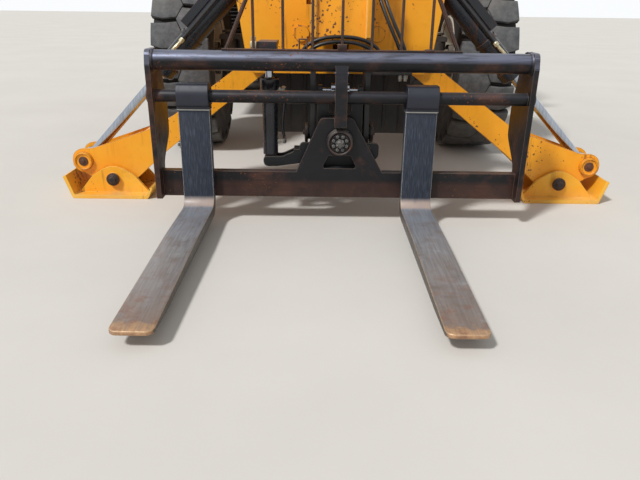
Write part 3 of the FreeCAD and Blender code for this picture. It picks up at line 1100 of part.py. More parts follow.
def tank():
    y0, y1 = SIDE_Y0 + 30, SIDE_Y1 - 30
    body = prism_y([(RAIL_X, TANK_LOW + 60, 30), (RAIL_X + 60, TANK_LOW, 60), (1120, TANK_LOW, 80),
                    (1120, 870, 60), (RAIL_X, 870, 10)], y0, y1)
    step = fused([box(1119, 1215, y0 + 120, y1 - 220, TANK_LOW + 60, TANK_LOW + 90),
                  box(1119, 1215, y0 + 120, y1 - 220, TANK_LOW + 280, TANK_LOW + 310)])
    return fused([body, step])


def counterweight():
    y0, y1 = BOOM_Y + 60, TAIL_Y
    body = prism_x([(y0, 640, 20), (y0, 1180), (y1 - 60, 1180, 120), (y1, 1060, 80), (y1, 740, 100),
                    (y1 - 120, 600, 80), (y0 + 60, 600, 30)], -880, 880)
    pocket = prism_y([(-880 - 1, 560), (-880 - 1, 760), (-700, 640, 80), (-620, 560)], y0 - 1, y1 + 1)
    hitch_cut = box(-130, 130, y1 - 150, y1 + 10, 590, 760)
    return body.cut(Part.makeCompound([pocket, mirrored(pocket), hitch_cut]))


def tow_hitch():
    y1 = TAIL_Y
    plate = box(-130, 130, y1 - 149, y1 - 120, 590, 758)
    tongue = [(-70, y1 - 125), (70, y1 - 125), (55, y1 + TOW_REACH, 50), (-55, y1 + TOW_REACH, 50)]
    jaws = [prism_z(tongue, z, z + 22) for z in (612, 700)]
    whole = fused([plate] + jaws)
    return whole.cut(bar_z(600, 740, 0, y1 + TOW_REACH / 2, TOW_PIN_R))


def lamps():
    work = [box(x - 60, x + 60, SIDE_Y0 + 330, SIDE_Y0 + 400, CAB_TOP, CAB_TOP + 90) for x in (360, 1110)]
    tail = [box(x - 70, x + 70, TAIL_Y, TAIL_Y + 22, 900, 980) for x in (-760, 760)]
    road = [box(x - 75, x + 75, LAMP_Y, LAMP_Y + 60, LAMP_Z + SEAT_GAP, LAMP_Z + 125) for x in (-600, 600)]
    return work + tail + road


def build():
    save("chassis_frame", chassis_frame())
    save("stabiliser_tower", stabiliser_tower())
    save("front_axle", axle(AXLE_F_Y, 1))
    save("rear_axle", axle(AXLE_R_Y, -1))
    save("counterweight", counterweight())
    save("tow_hitch", tow_hitch())
    save("fuel_tank", tank())
    save("engine_tray", engine_tray())
    save("engine_block", engine_block())
    save("engine_bonnet", engine_bonnet())
    save("cab_shell", cab_shell())
    save("cab_glass", cab_glass())
    save("cab_door", cab_door())
    save("door_glass", door_glass())
    save("seat", seat())
    save("dash", dash())
    save("steering_wheel", steering_wheel())
    save("fenders", fenders())
    save("lamps", lamps())
    save("exhaust", exhaust())
    save("mirrors", mirrors())
    for end, axle_y, rod_side in (("front", AXLE_F_Y, 1), ("rear", AXLE_R_Y, -1)):
        save(end + "_steer_rod", steer_rod(axle_y, rod_side))
        parts = (("knuckle", knuckle(axle_y, rod_side)), ("rim", rim(axle_y)), ("tyre", tyre(axle_y)))
        for name, shape in parts:
            save(end + "_right_" + name, shape)
            save(end + "_left_" + name, mirrored(shape))
    save("boom_outer", boom_outer())
    save("boom_mid", boom_mid())
    save("boom_inner", boom_inner())
    save("head_hoses", head_hoses())
    for name, pair in (("lift", lift_ram()), ("tilt", tilt_ram()), ("swing", sway_ram())):
        save(name + "_barrel", pair[0])
        save(name + "_rod", pair[1])
    save("hitch", hitch())
    save("fork_carriage", fork_carriage())
    save("load_backrest", load_backrest())
    save("left_fork", fork(FORK_LEFT_X))
    save("right_fork", fork(FORK_RIGHT_X))
    barrel, rod = stabiliser_ram()
    parts = (("leg", stabiliser_leg()), ("foot", stabiliser_foot()), ("ram_barrel", barrel), ("ram_rod", rod))
    for name, shape in parts:
        save("right_" + name, shape)
        save("left_" + name, mirrored(shape))


os.makedirs("parts", exist_ok=True)
build()
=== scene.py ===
import bmesh
import bpy
import json
import math
from mathutils import Matrix, Vector


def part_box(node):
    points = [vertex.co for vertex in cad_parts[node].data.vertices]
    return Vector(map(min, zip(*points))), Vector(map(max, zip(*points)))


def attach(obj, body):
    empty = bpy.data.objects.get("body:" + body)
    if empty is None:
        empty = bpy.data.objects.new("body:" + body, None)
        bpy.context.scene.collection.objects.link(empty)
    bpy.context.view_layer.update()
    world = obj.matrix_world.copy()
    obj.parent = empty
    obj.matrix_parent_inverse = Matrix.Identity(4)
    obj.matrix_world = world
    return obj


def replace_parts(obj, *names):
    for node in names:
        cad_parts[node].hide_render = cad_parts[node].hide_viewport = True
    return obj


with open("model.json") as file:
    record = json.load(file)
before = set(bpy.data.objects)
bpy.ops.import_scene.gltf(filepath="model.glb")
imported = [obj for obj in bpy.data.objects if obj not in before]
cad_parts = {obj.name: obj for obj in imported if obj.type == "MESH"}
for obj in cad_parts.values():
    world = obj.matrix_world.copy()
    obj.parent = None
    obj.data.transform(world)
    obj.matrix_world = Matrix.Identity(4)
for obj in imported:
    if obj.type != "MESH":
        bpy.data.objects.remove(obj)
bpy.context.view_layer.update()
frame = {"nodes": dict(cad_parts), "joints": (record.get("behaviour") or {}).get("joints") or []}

# The yard where the machine is parked: pale level ground, an even sky and one soft light from high on the
# left, seen from where a visitor stands to look down at the forks.
PHOTO_WIDTH = 640
FOCAL_PIXELS = 608.0
EYE = Vector((-0.105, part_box("left_fork")[0].y - 1.697, 1.055))
LOOK_DOWN = math.radians(21.28)
LOOK_RIGHT = math.radians(0.26)
LEAN = math.radians(0.72)
SKY_LIGHT = 0.50
GROUND_SIZE = 60.0

eye = bpy.data.objects.new("eye", bpy.data.cameras.new("eye"))
eye.data.sensor_width = 36.0
eye.data.lens = eye.data.sensor_width * FOCAL_PIXELS / PHOTO_WIDTH
eye.data.clip_end = 200.0
eye.location = EYE
turned = Matrix.Rotation(-LOOK_RIGHT, 4, "Z") @ Matrix.Rotation(math.pi / 2 - LOOK_DOWN, 4, "X")
eye.rotation_euler = (turned @ Matrix.Rotation(LEAN, 4, "Z")).to_euler()
bpy.context.scene.collection.objects.link(eye)
bpy.context.scene.camera = eye
bpy.context.scene.view_settings.view_transform = "Standard"

key = bpy.data.objects.new("key", bpy.data.lights.new("key", "SUN"))
key.data.energy = 2.8
key.data.angle = math.radians(7.0)
key.rotation_euler = (math.radians(30.0), math.radians(-30.0), 0.0)
bpy.context.scene.collection.objects.link(key)


def put(tree, kind, sockets=None, **properties):
    """A shader node in a tree; a socket is given a number, a colour or the output that feeds it."""
    made = tree.nodes.new(kind)
    for name, value in properties.items():
        setattr(made, name, value)
    for name, value in (sockets or {}).items():
        if isinstance(value, bpy.types.NodeSocket):
            tree.links.new(value, made.inputs[name])
        else:
            made.inputs[name].default_value = value
    return made


def maths(tree, operation, a, b=0.0):
    return put(tree, "ShaderNodeMath", {0: a, 1: b}, operation=operation).outputs[0]


def times(tree, a, b):
    return maths(tree, "MULTIPLY", a, b)


def spread(tree, value, low, high, to_low=0.0, to_high=1.0):
    """The value's stretch from low to high, laid out between two others and held at its ends."""
    sockets = {"Value": value, "From Min": low, "From Max": high, "To Min": to_low, "To Max": to_high}
    return put(tree, "ShaderNodeMapRange", sockets).outputs[0]


def cloud(tree, place, scale, detail=5.0, roughness=0.6):
    """Cloudy noise over a place, from 0 to 1."""
    sockets = {"Vector": place, "Scale": scale, "Detail": detail, "Roughness": roughness}
    return put(tree, "ShaderNodeTexNoise", sockets).outputs["Fac"]


def tint(tree, factor, a, b):
    """Colour a turning into colour b."""
    sides = [side if isinstance(side, bpy.types.NodeSocket) else (*side, 1.0) for side in (a, b)]
    return put(tree, "ShaderNodeMix", {0: factor, 6: sides[0], 7: sides[1]}, data_type="RGBA").outputs[2]


def shade(red, green, blue):
    """A colour as the eye reads it, 0 to 255, made linear for the shader."""
    return tuple((c / 255.0 / 12.92) if c <= 10 else ((c / 255.0 + 0.055) / 1.055) ** 2.4
                 for c in (red, green, blue))


def material(name, constants=None):
    """A new material with its shader's constants, its tree and the place on the piece."""
    made = bpy.data.materials.new(name)
    made.use_nodes = True
    tree = made.node_tree
    for label, value in (constants or {}).items():
        tree.nodes["Principled BSDF"].inputs[label].default_value = value
    return made, tree, put(tree, "ShaderNodeTexCoord").outputs["Object"]


def finish(tree, colour, roughness=None, metallic=None, relief=None, depth=0.001, strength=1.0, normal=None):
    """Feed a material's shader; the relief stands up by its depth in metres over the normal it is given."""
    feeds = {"Base Color": colour, "Roughness": roughness, "Metallic": metallic}
    if relief:
        sockets = {"Height": relief, "Distance": depth, "Strength": strength}
        feeds["Normal"] = put(tree, "ShaderNodeBump", {**sockets, **({"Normal": normal} if normal else {})}).outputs[0]
    for label, value in feeds.items():
        if value:
            tree.links.new(value, tree.nodes["Principled BSDF"].inputs[label])


sky = bpy.data.worlds.new("sky")
bpy.context.scene.world = sky
sky.use_nodes = True
tree = sky.node_tree
rays = put(tree, "ShaderNodeLightPath").outputs
seen = maths(tree, "MAXIMUM", rays["Is Camera Ray"], rays["Is Transmission Ray"])
seen = maths(tree, "MAXIMUM", seen, times(tree, rays["Is Glossy Ray"], 0.7))
backdrop = tree.nodes["Background"].inputs
backdrop["Color"].default_value = (0.96, 0.98, 1.0, 1.0)
tree.links.new(spread(tree, seen, 0.0, 1.0, SKY_LIGHT, 1.0), backdrop["Strength"])

ground_mesh = bmesh.new()
bmesh.ops.create_grid(ground_mesh, x_segments=1, y_segments=1, size=GROUND_SIZE)
ground_data = bpy.data.meshes.new("ground")
ground_mesh.to_mesh(ground_data)
ground_mesh.free()
ground = bpy.data.objects.new("ground", ground_data)
bpy.context.scene.collection.objects.link(ground)
pale, tree, place = material("pale ground", {"Roughness": 0.95})
finish(tree, tint(tree, cloud(tree, place, 0.9), shade(200, 196, 189), shade(216, 212, 205)))
ground_data.materials.append(pale)


# Chassis: two deep side plates of steel joined by decks and cross tubes, all welded, with the stabiliser
# tower welded on ahead of the front axle. Orange enamel, chipped by stones, rusting on edges, dusty on top.
# A black moulded guard is bolted on behind the tower, a dark sheet that stands in for the shade under the machine.
nodes = frame["nodes"]
pins = {joint["name"]: Vector(joint["pos_m"]) for joint in frame["joints"] if "pos_m" in joint}


def drawn(tree, place, x, y, z, detail=4.0):
    """Noise drawn out along one direction, as scratches and runs are."""
    return cloud(tree, put(tree, "ShaderNodeMapping", {"Vector": place, "Scale": (x, y, z)}).outputs[0], 1.0, detail)


def parted(tree, vector):
    """The three outputs of a vector's X, Y and Z."""
    return put(tree, "ShaderNodeSeparateXYZ", {0: vector}).outputs


def effect(name, inputs, **outputs):
    """A new node group with its sockets named: the group, its inputs and the place on the piece."""
    group = bpy.data.node_groups.new(name, "ShaderNodeTree")
    for label, default in inputs.items():
        socket = group.interface.new_socket(label, in_out="INPUT", socket_type="NodeSocketFloat")
        socket.default_value = default
    for label, kind in outputs.items():
        group.interface.new_socket(label, in_out="OUTPUT", socket_type="NodeSocket" + kind)
    group.nodes.new("NodeGroupOutput")
    return group, group.nodes.new("NodeGroupInput").outputs, put(group, "ShaderNodeTexCoord").outputs["Object"]


def give(group, **outputs):
    """Send what an effect has made to its outputs."""
    for label, value in outputs.items():
        group.links.new(value, group.nodes["Group Output"].inputs[label])


def use(tree, group, **values):
    """One of the shared effects placed in a material, with its own values."""
    return put(tree, "ShaderNodeGroup", values, node_tree=group).outputs


# edge wear: corners where the coat is rubbed through
edge_wear, given, place = effect("edge wear", {"Radius": 0.006, "Breakup": 30.0, "Amount": 0.5},
                                 Mask="Float", Normal="Vector")
rounded = put(edge_wear, "ShaderNodeBevel", {"Radius": given["Radius"]}, samples=4).outputs[0]
plain = put(edge_wear, "ShaderNodeNewGeometry").outputs["Normal"]
turn = put(edge_wear, "ShaderNodeVectorMath", {0: rounded, 1: plain}, operation="DOT_PRODUCT").outputs["Value"]
break_up = cloud(edge_wear, place, given["Breakup"], 5.0, 0.65)
bitten = times(edge_wear, spread(edge_wear, turn, 0.998, 0.90), maths(edge_wear, "ADD", break_up, given["Amount"]))
give(edge_wear, Mask=spread(edge_wear, bitten, 0.55, 0.75), Normal=rounded)

# chipping: stone chips in clusters, and thin runs below them
chipping, given, place = effect("chipping", {"Scale": 40.0, "Amount": 0.3}, Mask="Float", Streak="Float")
ragged = put(chipping, "ShaderNodeTexNoise", {"Vector": place, "Scale": 70.0, "Detail": 4.0}).outputs["Color"]
ragged = put(chipping, "ShaderNodeVectorMath", {0: ragged, 1: (0.030, 0.030, 0.030), 2: place},
             operation="MULTIPLY_ADD").outputs[0]
spots = put(chipping, "ShaderNodeTexVoronoi", {"Vector": ragged, "Scale": given["Scale"], "Randomness": 1.0})
where = cloud(chipping, place, 3.3, 3.0, 0.5)
reach = times(chipping, spread(chipping, where, 0.36, 0.72), given["Amount"])
near = maths(chipping, "ADD", spots.outputs["Distance"], times(chipping, cloud(chipping, place, 160.0, 2.0), 0.16))
runs = spread(chipping, drawn(chipping, place, 30.0, 30.0, 1.8), 0.57, 0.68)
give(chipping, Mask=maths(chipping, "LESS_THAN", near, reach),
     Streak=times(chipping, runs, spread(chipping, where, 0.40, 0.66)))

# rusting: patches of scale
rusting, given, place = effect("rusting", {"Scale": 12.0, "Amount": 0.5}, Mask="Float", Color="Color", Height="Float")
grain = cloud(rusting, place, 210.0, 3.0)
cover = maths(rusting, "ADD", cloud(rusting, place, given["Scale"], 8.0, 0.62),
              maths(rusting, "SUBTRACT", given["Amount"], 0.5))
give(rusting, Mask=spread(rusting, cover, 0.50, 0.62), Height=grain,
     Color=tint(rusting, spread(rusting, grain, 0.3, 0.7), shade(70, 37, 24), shade(140, 80, 44)))

# dusting: dust that lies on what faces up, and splashes up from the ground to a height
dusting, given, place = effect("dusting", {"Height": 0.5, "Amount": 0.5}, Mask="Float")
facing = parted(dusting, put(dusting, "ShaderNodeNewGeometry").outputs["Normal"])[2]
splash = maths(dusting, "SUBTRACT", 1.0, maths(dusting, "DIVIDE", parted(dusting, place)[2], given["Height"]))
settled = maths(dusting, "MAXIMUM", spread(dusting, facing, 0.35, 1.0), spread(dusting, splash, 0.0, 1.0, 0.0, 0.8))
thick = times(dusting, settled, spread(dusting, cloud(dusting, place, 6.0, 7.0), 0.32, 0.68))
give(dusting, Mask=times(dusting, thick, given["Amount"]))

DUST = shade(176, 166, 150)


def coated(name, colour, faded, wear, chips, rust, dust, splash_height, gloss, edge_radius=0.005, bare_or_highlight=None,
           shade_below=None):
    """Painted steel: a faded coat, chipped and rusted through, with dust on top. Given a bare colour, its rubbed edges
    take it, partly wear and partly painted highlight; given a height, the coat below it is painted near black as
    painted shade.
    """
    made, tree, place = material(name)
    colour, faded = shade(*colour), shade(*faded)
    broad = cloud(tree, place, 2.2, 6.0)
    grime = cloud(tree, place, 17.0, 8.0, 0.7)
    coat = tint(tree, spread(tree, broad, 0.35, 0.7), colour, faded)
    coat = tint(tree, spread(tree, grime, 0.56, 0.80, 0.0, 0.5), coat, tuple(c * 0.62 for c in colour))
    edges = use(tree, edge_wear, Radius=edge_radius, Breakup=34.0, Amount=wear)
    pits = use(tree, chipping, Scale=46.0, Amount=chips)
    through = use(tree, rusting, Scale=7.0, Amount=rust)
    # Rubbed edges: rust and dark steel, or the given bare colour, which on the boom head is partly painted highlight.
    rubbed = shade(*bare_or_highlight) if bare_or_highlight else tint(tree, broad, through["Color"], shade(62, 52, 47))
    # Painted shade: below the given height the coat is painted near black and its rubbed edges dark, standing in for
    # the shade under the part.
    if shade_below is not None:
        painted_shade_low = spread(tree, parted(tree, place)[2], shade_below + 0.004, shade_below)
        coat = tint(tree, painted_shade_low, coat, shade(22, 22, 24))
        rubbed = tint(tree, painted_shade_low, rubbed, shade(56, 50, 46))
    coat = tint(tree, times(tree, pits["Streak"], 0.75), coat, shade(84, 46, 22))
    coat = tint(tree, edges["Mask"], coat, rubbed)
    pitted = maths(tree, "MAXIMUM", pits["Mask"], through["Mask"])
    coat = tint(tree, pitted, coat, tint(tree, broad, through["Color"], shade(48, 36, 30)))
    gone = maths(tree, "MAXIMUM", edges["Mask"], pitted)
    lying = use(tree, dusting, Height=splash_height, Amount=dust)["Mask"]
    sheen = maths(tree, "MAXIMUM", spread(tree, grime, 0.3, 0.8, gloss, gloss + 0.22), times(tree, gone, 0.62))
    relief = maths(tree, "ADD", maths(tree, "SUBTRACT", times(tree, grime, 0.25), gone),
                   times(tree, through["Height"], times(tree, gone, 0.6)))
    finish(tree, tint(tree, lying, coat, DUST), maths(tree, "MAXIMUM", sheen, times(tree, lying, 0.95)),
           relief=relief, depth=0.0012, strength=0.7, normal=edges["Normal"])
    return made


def steel(name, colour, light, gloss, rust, metallic=0.85, edge_radius=0.004):
    """Bare steel, brushed by use, with rust where nothing rubs it."""
    made, tree, place = material(name)
    colour, light = shade(*colour), shade(*light)
    lines = drawn(tree, place, 180.0, 9.0, 9.0)
    edges = use(tree, edge_wear, Radius=edge_radius, Breakup=24.0, Amount=0.75)
    through = use(tree, rusting, Scale=9.0, Amount=rust)
    blend = maths(tree, "ADD", times(tree, lines, 0.6), times(tree, cloud(tree, place, 5.0), 0.4))
    face = tint(tree, spread(tree, blend, 0.38, 0.62), colour, light)
    face = tint(tree, through["Mask"], face, through["Color"])
    face = tint(tree, times(tree, edges["Mask"], 0.8), face, tuple(min(1.0, c * 1.9) for c in light))
    rough = maths(tree, "ADD", spread(tree, lines, 0.3, 0.7, gloss - 0.06, gloss + 0.1),
                  times(tree, through["Mask"], 0.3))
    finish(tree, face, rough, spread(tree, through["Mask"], 0.0, 1.0, metallic, 0.1),
           relief=lines, depth=0.0004, normal=edges["Normal"])
    return made


def moulded(name, colour, roughness, dust, splash_height, grain=180.0, light=1.5):
    """Moulded plastic or rubber, slightly grained and dusty."""
    made, tree, place = material(name)
    colour = shade(*colour)
    broad = cloud(tree, place, 4.0, 6.0)
    edges = use(tree, edge_wear, Radius=0.004, Breakup=20.0, Amount=0.2)
    lying = use(tree, dusting, Height=splash_height, Amount=dust)["Mask"]
    skin = tint(tree, spread(tree, broad, 0.35, 0.7), colour, tuple(c * light for c in colour))
    rough = spread(tree, broad, 0.3, 0.7, roughness - 0.06, roughness + 0.08)
    finish(tree, tint(tree, lying, skin, DUST), maths(tree, "MAXIMUM", rough, times(tree, lying, 0.95)),
           relief=cloud(tree, place, grain, 2.0), depth=0.0003, strength=0.5, normal=edges["Normal"])
    return made


def dress(finished, *names):
    """Give nodes of the frame the finish of the real piece."""
    for name in names:
        nodes[name].data.materials.clear()
        nodes[name].data.materials.append(finished)


def piece(name, mesh, finished, body, smooth=35.0):
    """A finished mesh as an object that rides on a body of the machine."""
    bmesh.ops.remove_doubles(mesh, verts=mesh.verts, dist=0.00002)
    bmesh.ops.recalc_face_normals(mesh, faces=mesh.faces)
    data = bpy.data.meshes.new(name)
    mesh.to_mesh(data)
    mesh.free()
    data.shade_smooth()
    data.set_sharp_from_angle(angle=math.radians(smooth))
    data.materials.append(finished)
    made = bpy.data.objects.new(name, data)
    bpy.context.scene.collection.objects.link(made)
    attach(made, body)
    return made


def meshes(count):
    """So many empty meshes to build in."""
    return [bmesh.new() for _ in range(count)]


def join(mesh, part, place=None):
    """Add a part to a mesh, moved to its place, and let the part go."""
    if place is not None:
        bmesh.ops.transform(part, matrix=place, verts=part.verts)
    data = bpy.data.meshes.new("part")
    part.to_mesh(data)
    part.free()
    mesh.from_mesh(data)
    bpy.data.meshes.remove(data)


def bevel(mesh, edges, width, segments=2, **more):
    """Round some edges of a mesh."""
    bmesh.ops.bevel(mesh, geom=edges, offset=width, segments=segments, profile=0.5, affect="EDGES", material=-1,
                    **more)


def soften(mesh, width, above=35.0):
    """Round every edge that turns by more than an angle."""
    sharp = [edge for edge in mesh.edges
             if len(edge.link_faces) == 2 and edge.calc_face_angle() > math.radians(above)]
    bevel(mesh, sharp, width, offset_type="OFFSET", clamp_overlap=True)


def block(mesh, low, high, soft=0.0, place=None):
    """A block between two corners, its edges rounded, and then moved to its place."""
    low, high = Vector(low), Vector(high)
    part = bmesh.new()
    bmesh.ops.create_cube(part, size=1.0)
    bmesh.ops.scale(part, vec=high - low, verts=part.verts)
    bmesh.ops.translate(part, vec=(low + high) / 2, verts=part.verts)
    if soft:
        soften(part, soft)
    join(mesh, part, place)


def turning(mesh, outline, base, axis, steps=32):
    """A turned piece: (along, radius) points spun round an axis from its base, open ends closed flat."""
    outline = list(outline)
    if math.dist(outline[0], outline[-1]) > 0.000001:
        outline = [(a, 0.0) for a, r in outline[:1] if r] + outline + [(a, 0.0) for a, r in outline[-1:] if r]
    part = bmesh.new()
    along = Vector(axis).normalized()
    across = along.orthogonal().normalized()
    verts = [part.verts.new(Vector(base) + along * a + across * r) for a, r in outline]
    edges = [part.edges.new(pair) for pair in zip(verts, verts[1:])]
    bmesh.ops.spin(part, geom=verts + edges, cent=base, axis=along, angle=math.tau, steps=steps, use_merge=True)
    bmesh.ops.remove_doubles(part, verts=part.verts, dist=0.00002)
    join(mesh, part)


def bolt(mesh, at, axis, size, height=None, washer=True):
    """A hexagon head on its washer; size is the head's radius over its corners."""
    height = height or size * 0.75
    along = Vector(axis).normalized()
    if washer:
        turning(mesh, [(0, size * 1.35), (size * 0.14, size * 1.35), (size * 0.18, size * 1.28)], at, axis, 20)
    part = bmesh.new()
    bmesh.ops.create_cone(part, cap_ends=True, segments=6, radius1=size, radius2=size, depth=height)
    bevel(part, [edge for edge in part.edges if all(vert.co.z > 0 for vert in edge.verts)], size * 0.12, 1)
    turned = along.to_track_quat("Z", "Y").to_matrix().to_4x4()
    join(mesh, part, Matrix.Translation(Vector(at) + along * (height / 2 + size * 0.1)) @ turned)


def around(centre, radius, count, across, up=(0, 0, 1), start=0.0):
    """Points at equal steps round a centre, beginning across and turning up."""
    for step in range(count):
        angle = start + math.tau * step / count
        yield Vector(centre) + Vector(across) * (radius * math.cos(angle)) + Vector(up) * (radius * math.sin(angle))


orange_paint = coated("orange paint", (241, 156, 10), (247, 174, 34), wear=0.46, chips=0.44, rust=0.30, dust=0.20,
                      splash_height=0.20, gloss=0.38)
black_paint = coated("black paint", (30, 30, 33), (46, 45, 48), wear=0.45, chips=0.34, rust=0.42, dust=0.30,
                     splash_height=0.30, gloss=0.34)
zinc = steel("zinc plated steel", (128, 126, 118), (172, 168, 160), 0.38, 0.25)
black_plastic = moulded("black plastic", (30, 30, 32), 0.52, 0.35, 0.6)
dress(orange_paint, "chassis_frame", "stabiliser_tower")
KEEPER_R, KEEPER_BOLTS = 0.062, 0.038
FLAP_X, FLAP_LOW, FLAP_HIGH = 0.430, 0.330, 0.835
tower_low, tower_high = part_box("stabiliser_tower")
keepers, studs, shade_sheet, shade_sheet_bolts = meshes(4)
for joint, facing in (("leg_turn", 1), ("ram_turn", -1)):
    for side in ("right", "left"):
        pin = pins["%s_%s" % (side, joint)]
        face = Vector((pin.x, tower_high.y if facing > 0 else tower_low.y, pin.z))
        turning(keepers, [(-0.013, KEEPER_R), (0.006, KEEPER_R), (0.014, KEEPER_R - 0.008)], face, (0, facing, 0), 40)
        for at in around(face + Vector((0, facing * 0.014, 0)), KEEPER_BOLTS, 3, (1, 0, 0), start=math.pi / 2):
            bolt(studs, at, (0, facing, 0), 0.011)
# Painted shade: a black ribbed sheet with bolts behind the tower, where there is only the machine's shadow.
block(shade_sheet, (-FLAP_X, tower_high.y + 0.001, FLAP_LOW), (FLAP_X, tower_high.y + 0.011, FLAP_HIGH), 0.004)
for k in range(9):
    x = 0.055 - FLAP_X + 0.0938 * k
    block(shade_sheet, (x - 0.010, tower_high.y - 0.004, FLAP_LOW + 0.02), (x + 0.010, tower_high.y + 0.004, FLAP_HIGH - 0.09),
          0.003)
    bolt(shade_sheet_bolts, (x, tower_high.y + 0.011, FLAP_HIGH - 0.030), (0, 1, 0), 0.010)
piece("tower_pin_keepers", keepers, black_paint, "root")
piece("tower_pin_bolts", studs, zinc, "root")
piece("shade_guard", shade_sheet, black_plastic, "root")
piece("shade_guard_bolts", shade_sheet_bolts, zinc, "root")


# Axles: cast housings with a bolted differential, steering yokes and knuckles, painted black and always
# dusty. The steering rods are hard chrome, with a clamped rubber bellows at each end of their barrel.
cast_paint = coated("axle casting black", (44, 43, 42), (64, 61, 58), wear=0.40, chips=0.30, rust=0.42, dust=0.65,
                    splash_height=0.9, gloss=0.55)
chrome = steel("polished rod", (150, 156, 166), (190, 196, 205), 0.16, 0.05, metallic=1.0)
dress(cast_paint, "front_axle", "rear_axle", "front_right_knuckle", "front_left_knuckle", "rear_right_knuckle",
      "rear_left_knuckle")
dress(chrome, "front_steer_rod", "rear_steer_rod")
COVER_R = 0.128
cover_bolts, caps = meshes(2)
for end, facing in (("front", -1), ("rear", 1)):
    axle = pins[end + "_right_steer"]
    turning(caps, [(0.118, COVER_R), (0.152, COVER_R), (0.164, COVER_R - 0.012), (0.176, 0.08), (0.180, 0.0)],
            (0, axle.y, axle.z), (0, facing, 0), 48)
    for at in around((0, axle.y + facing * 0.163, axle.z), 0.112, 10, (1, 0, 0)):
        bolt(cover_bolts, at, (0, facing, 0), 0.010)
    for side in (1, -1):
        for up in (1, -1):
            turning(caps, [(0.010, 0.050), (0.026, 0.046), (0.030, 0)],
                    (side * abs(axle.x), axle.y, axle.z + up * 0.18), (0, 0, up), 32)
piece("axle_covers", caps, cast_paint, "root")
piece("axle_cover_bolts", cover_bolts, zinc, "root")


# Wheels: block-tread tyres on welded steel wheels in cream enamel, each held by ten nuts, with the hub's
# reduction gear behind a bolted cover in the middle. The blocks' tops are scuffed grey, the grooves black.
TYRE_RADIUS = 0.650
TYRE_HALF = 0.200
TREAD_DEPTH = 0.034
CROWN_DROP = 0.012        # how much lower the tread lies at its sides
BLOCKS = 20               # in each of two rows
BLOCK_CORNERS = [(0.016, -0.088), (-0.022, -0.004), (0.020, 0.086), (0.118, 0.095), (0.194, 0.072),
                 (0.194, -0.082), (0.094, -0.079)]
CARCASS = [(0.145, 0.306), (0.166, 0.332), (0.176, 0.352), (0.190, 0.385), (0.196, 0.430), (0.1985, 0.432),
           (0.1985, 0.438), (0.1975, 0.440), (0.1995, 0.480), (0.196, 0.530), (0.1975, 0.533), (0.1965, 0.540),
           (0.192, 0.565), (0.182, 0.592), (0.165, 0.606), (0.120, 0.611), (0.060, 0.613)]
DISC_X = 0.985
RIM = [(DISC_X + x, r) for x, r in (
    (0.168, 0.0), (0.168, 0.044), (0.160, 0.052), (0.160, 0.098), (0.158, 0.126), (0.150, 0.134), (0.124, 0.138),
    (0.120, 0.146), (0.030, 0.149), (0.018, 0.153), (0.018, 0.222), (0.026, 0.236), (0.046, 0.258), (0.050, 0.272),
    (0.044, 0.286), (0.050, 0.2925), (0.195, 0.293), (0.223, 0.300), (0.237, 0.318), (0.245, 0.324), (0.245, 0.329),
    (0.231, 0.329), (0.229, 0.3045), (-0.099, 0.3045), (-0.101, 0.329), (-0.115, 0.329), (-0.115, 0.318),
    (-0.093, 0.300), (-0.065, 0.293), (-0.004, 0.293), (0.0, 0.286), (0.0, 0.057), (0.081, 0.057), (0.081, 0.0))]


def push_out(mesh, faces, by):
    """Extrude faces, and move what is new by a vector."""
    new = bmesh.ops.extrude_face_region(mesh, geom=faces)["geom"]
    bmesh.ops.translate(mesh, vec=by, verts=[part for part in new if isinstance(part, bmesh.types.BMVert)])


def sag(x):
    """How much lower the tread lies at x from the tyre's middle."""
    return CROWN_DROP * (abs(x) / TYRE_HALF) ** 2


tyre_mesh, row = meshes(2)
turning(tyre_mesh, [(-x, r) for x, r in CARCASS] + CARCASS[::-1] + [(-CARCASS[0][0], CARCASS[0][1])], (0, 0, 0),
        (1, 0, 0), 80)
push_out(row, [row.faces.new([row.verts.new((x, s, 0.0)) for x, s in BLOCK_CORNERS])], (0, 0, -TREAD_DEPTH - 0.012))
bevel(row, [edge for edge in row.edges if all(vert.co.z > -0.001 for vert in edge.verts)], 0.007)
for cut in (-0.056, -0.028, 0.0, 0.028, 0.056):
    bmesh.ops.bisect_plane(row, geom=row.verts[:] + row.edges[:] + row.faces[:], plane_co=(0, cut, 0),
                           plane_no=(0, 1, 0))
block(row, (0.172, -0.064, -0.098), (0.1985, 0.054, -0.020), 0.006)
for vert in row.verts:
    if vert.co.z < -0.030 and vert.co.x > 0.18:
        vert.co.x -= 0.10 * (-0.030 - vert.co.z)
row_data = bpy.data.meshes.new("tread row")
row.to_mesh(row_data)
row.free()
for side, lag in ((1, 0.0), (-1, 0.5)):
    for k in range(BLOCKS):
        one = bmesh.new()
        one.from_mesh(row_data)
        for vert in one.verts:
            x, s, h = vert.co
            radius = TYRE_RADIUS + h - sag(x)
            angle = s / TYRE_RADIUS + math.tau * (k + lag) / BLOCKS
            vert.co = Vector((side * x, radius * math.sin(angle), -radius * math.cos(angle)))
        join(tyre_mesh, one)
tyre_data = bpy.data.meshes.new("tyre")
bmesh.ops.recalc_face_normals(tyre_mesh, faces=tyre_mesh.faces)
tyre_mesh.to_mesh(tyre_data)
tyre_mesh.free()

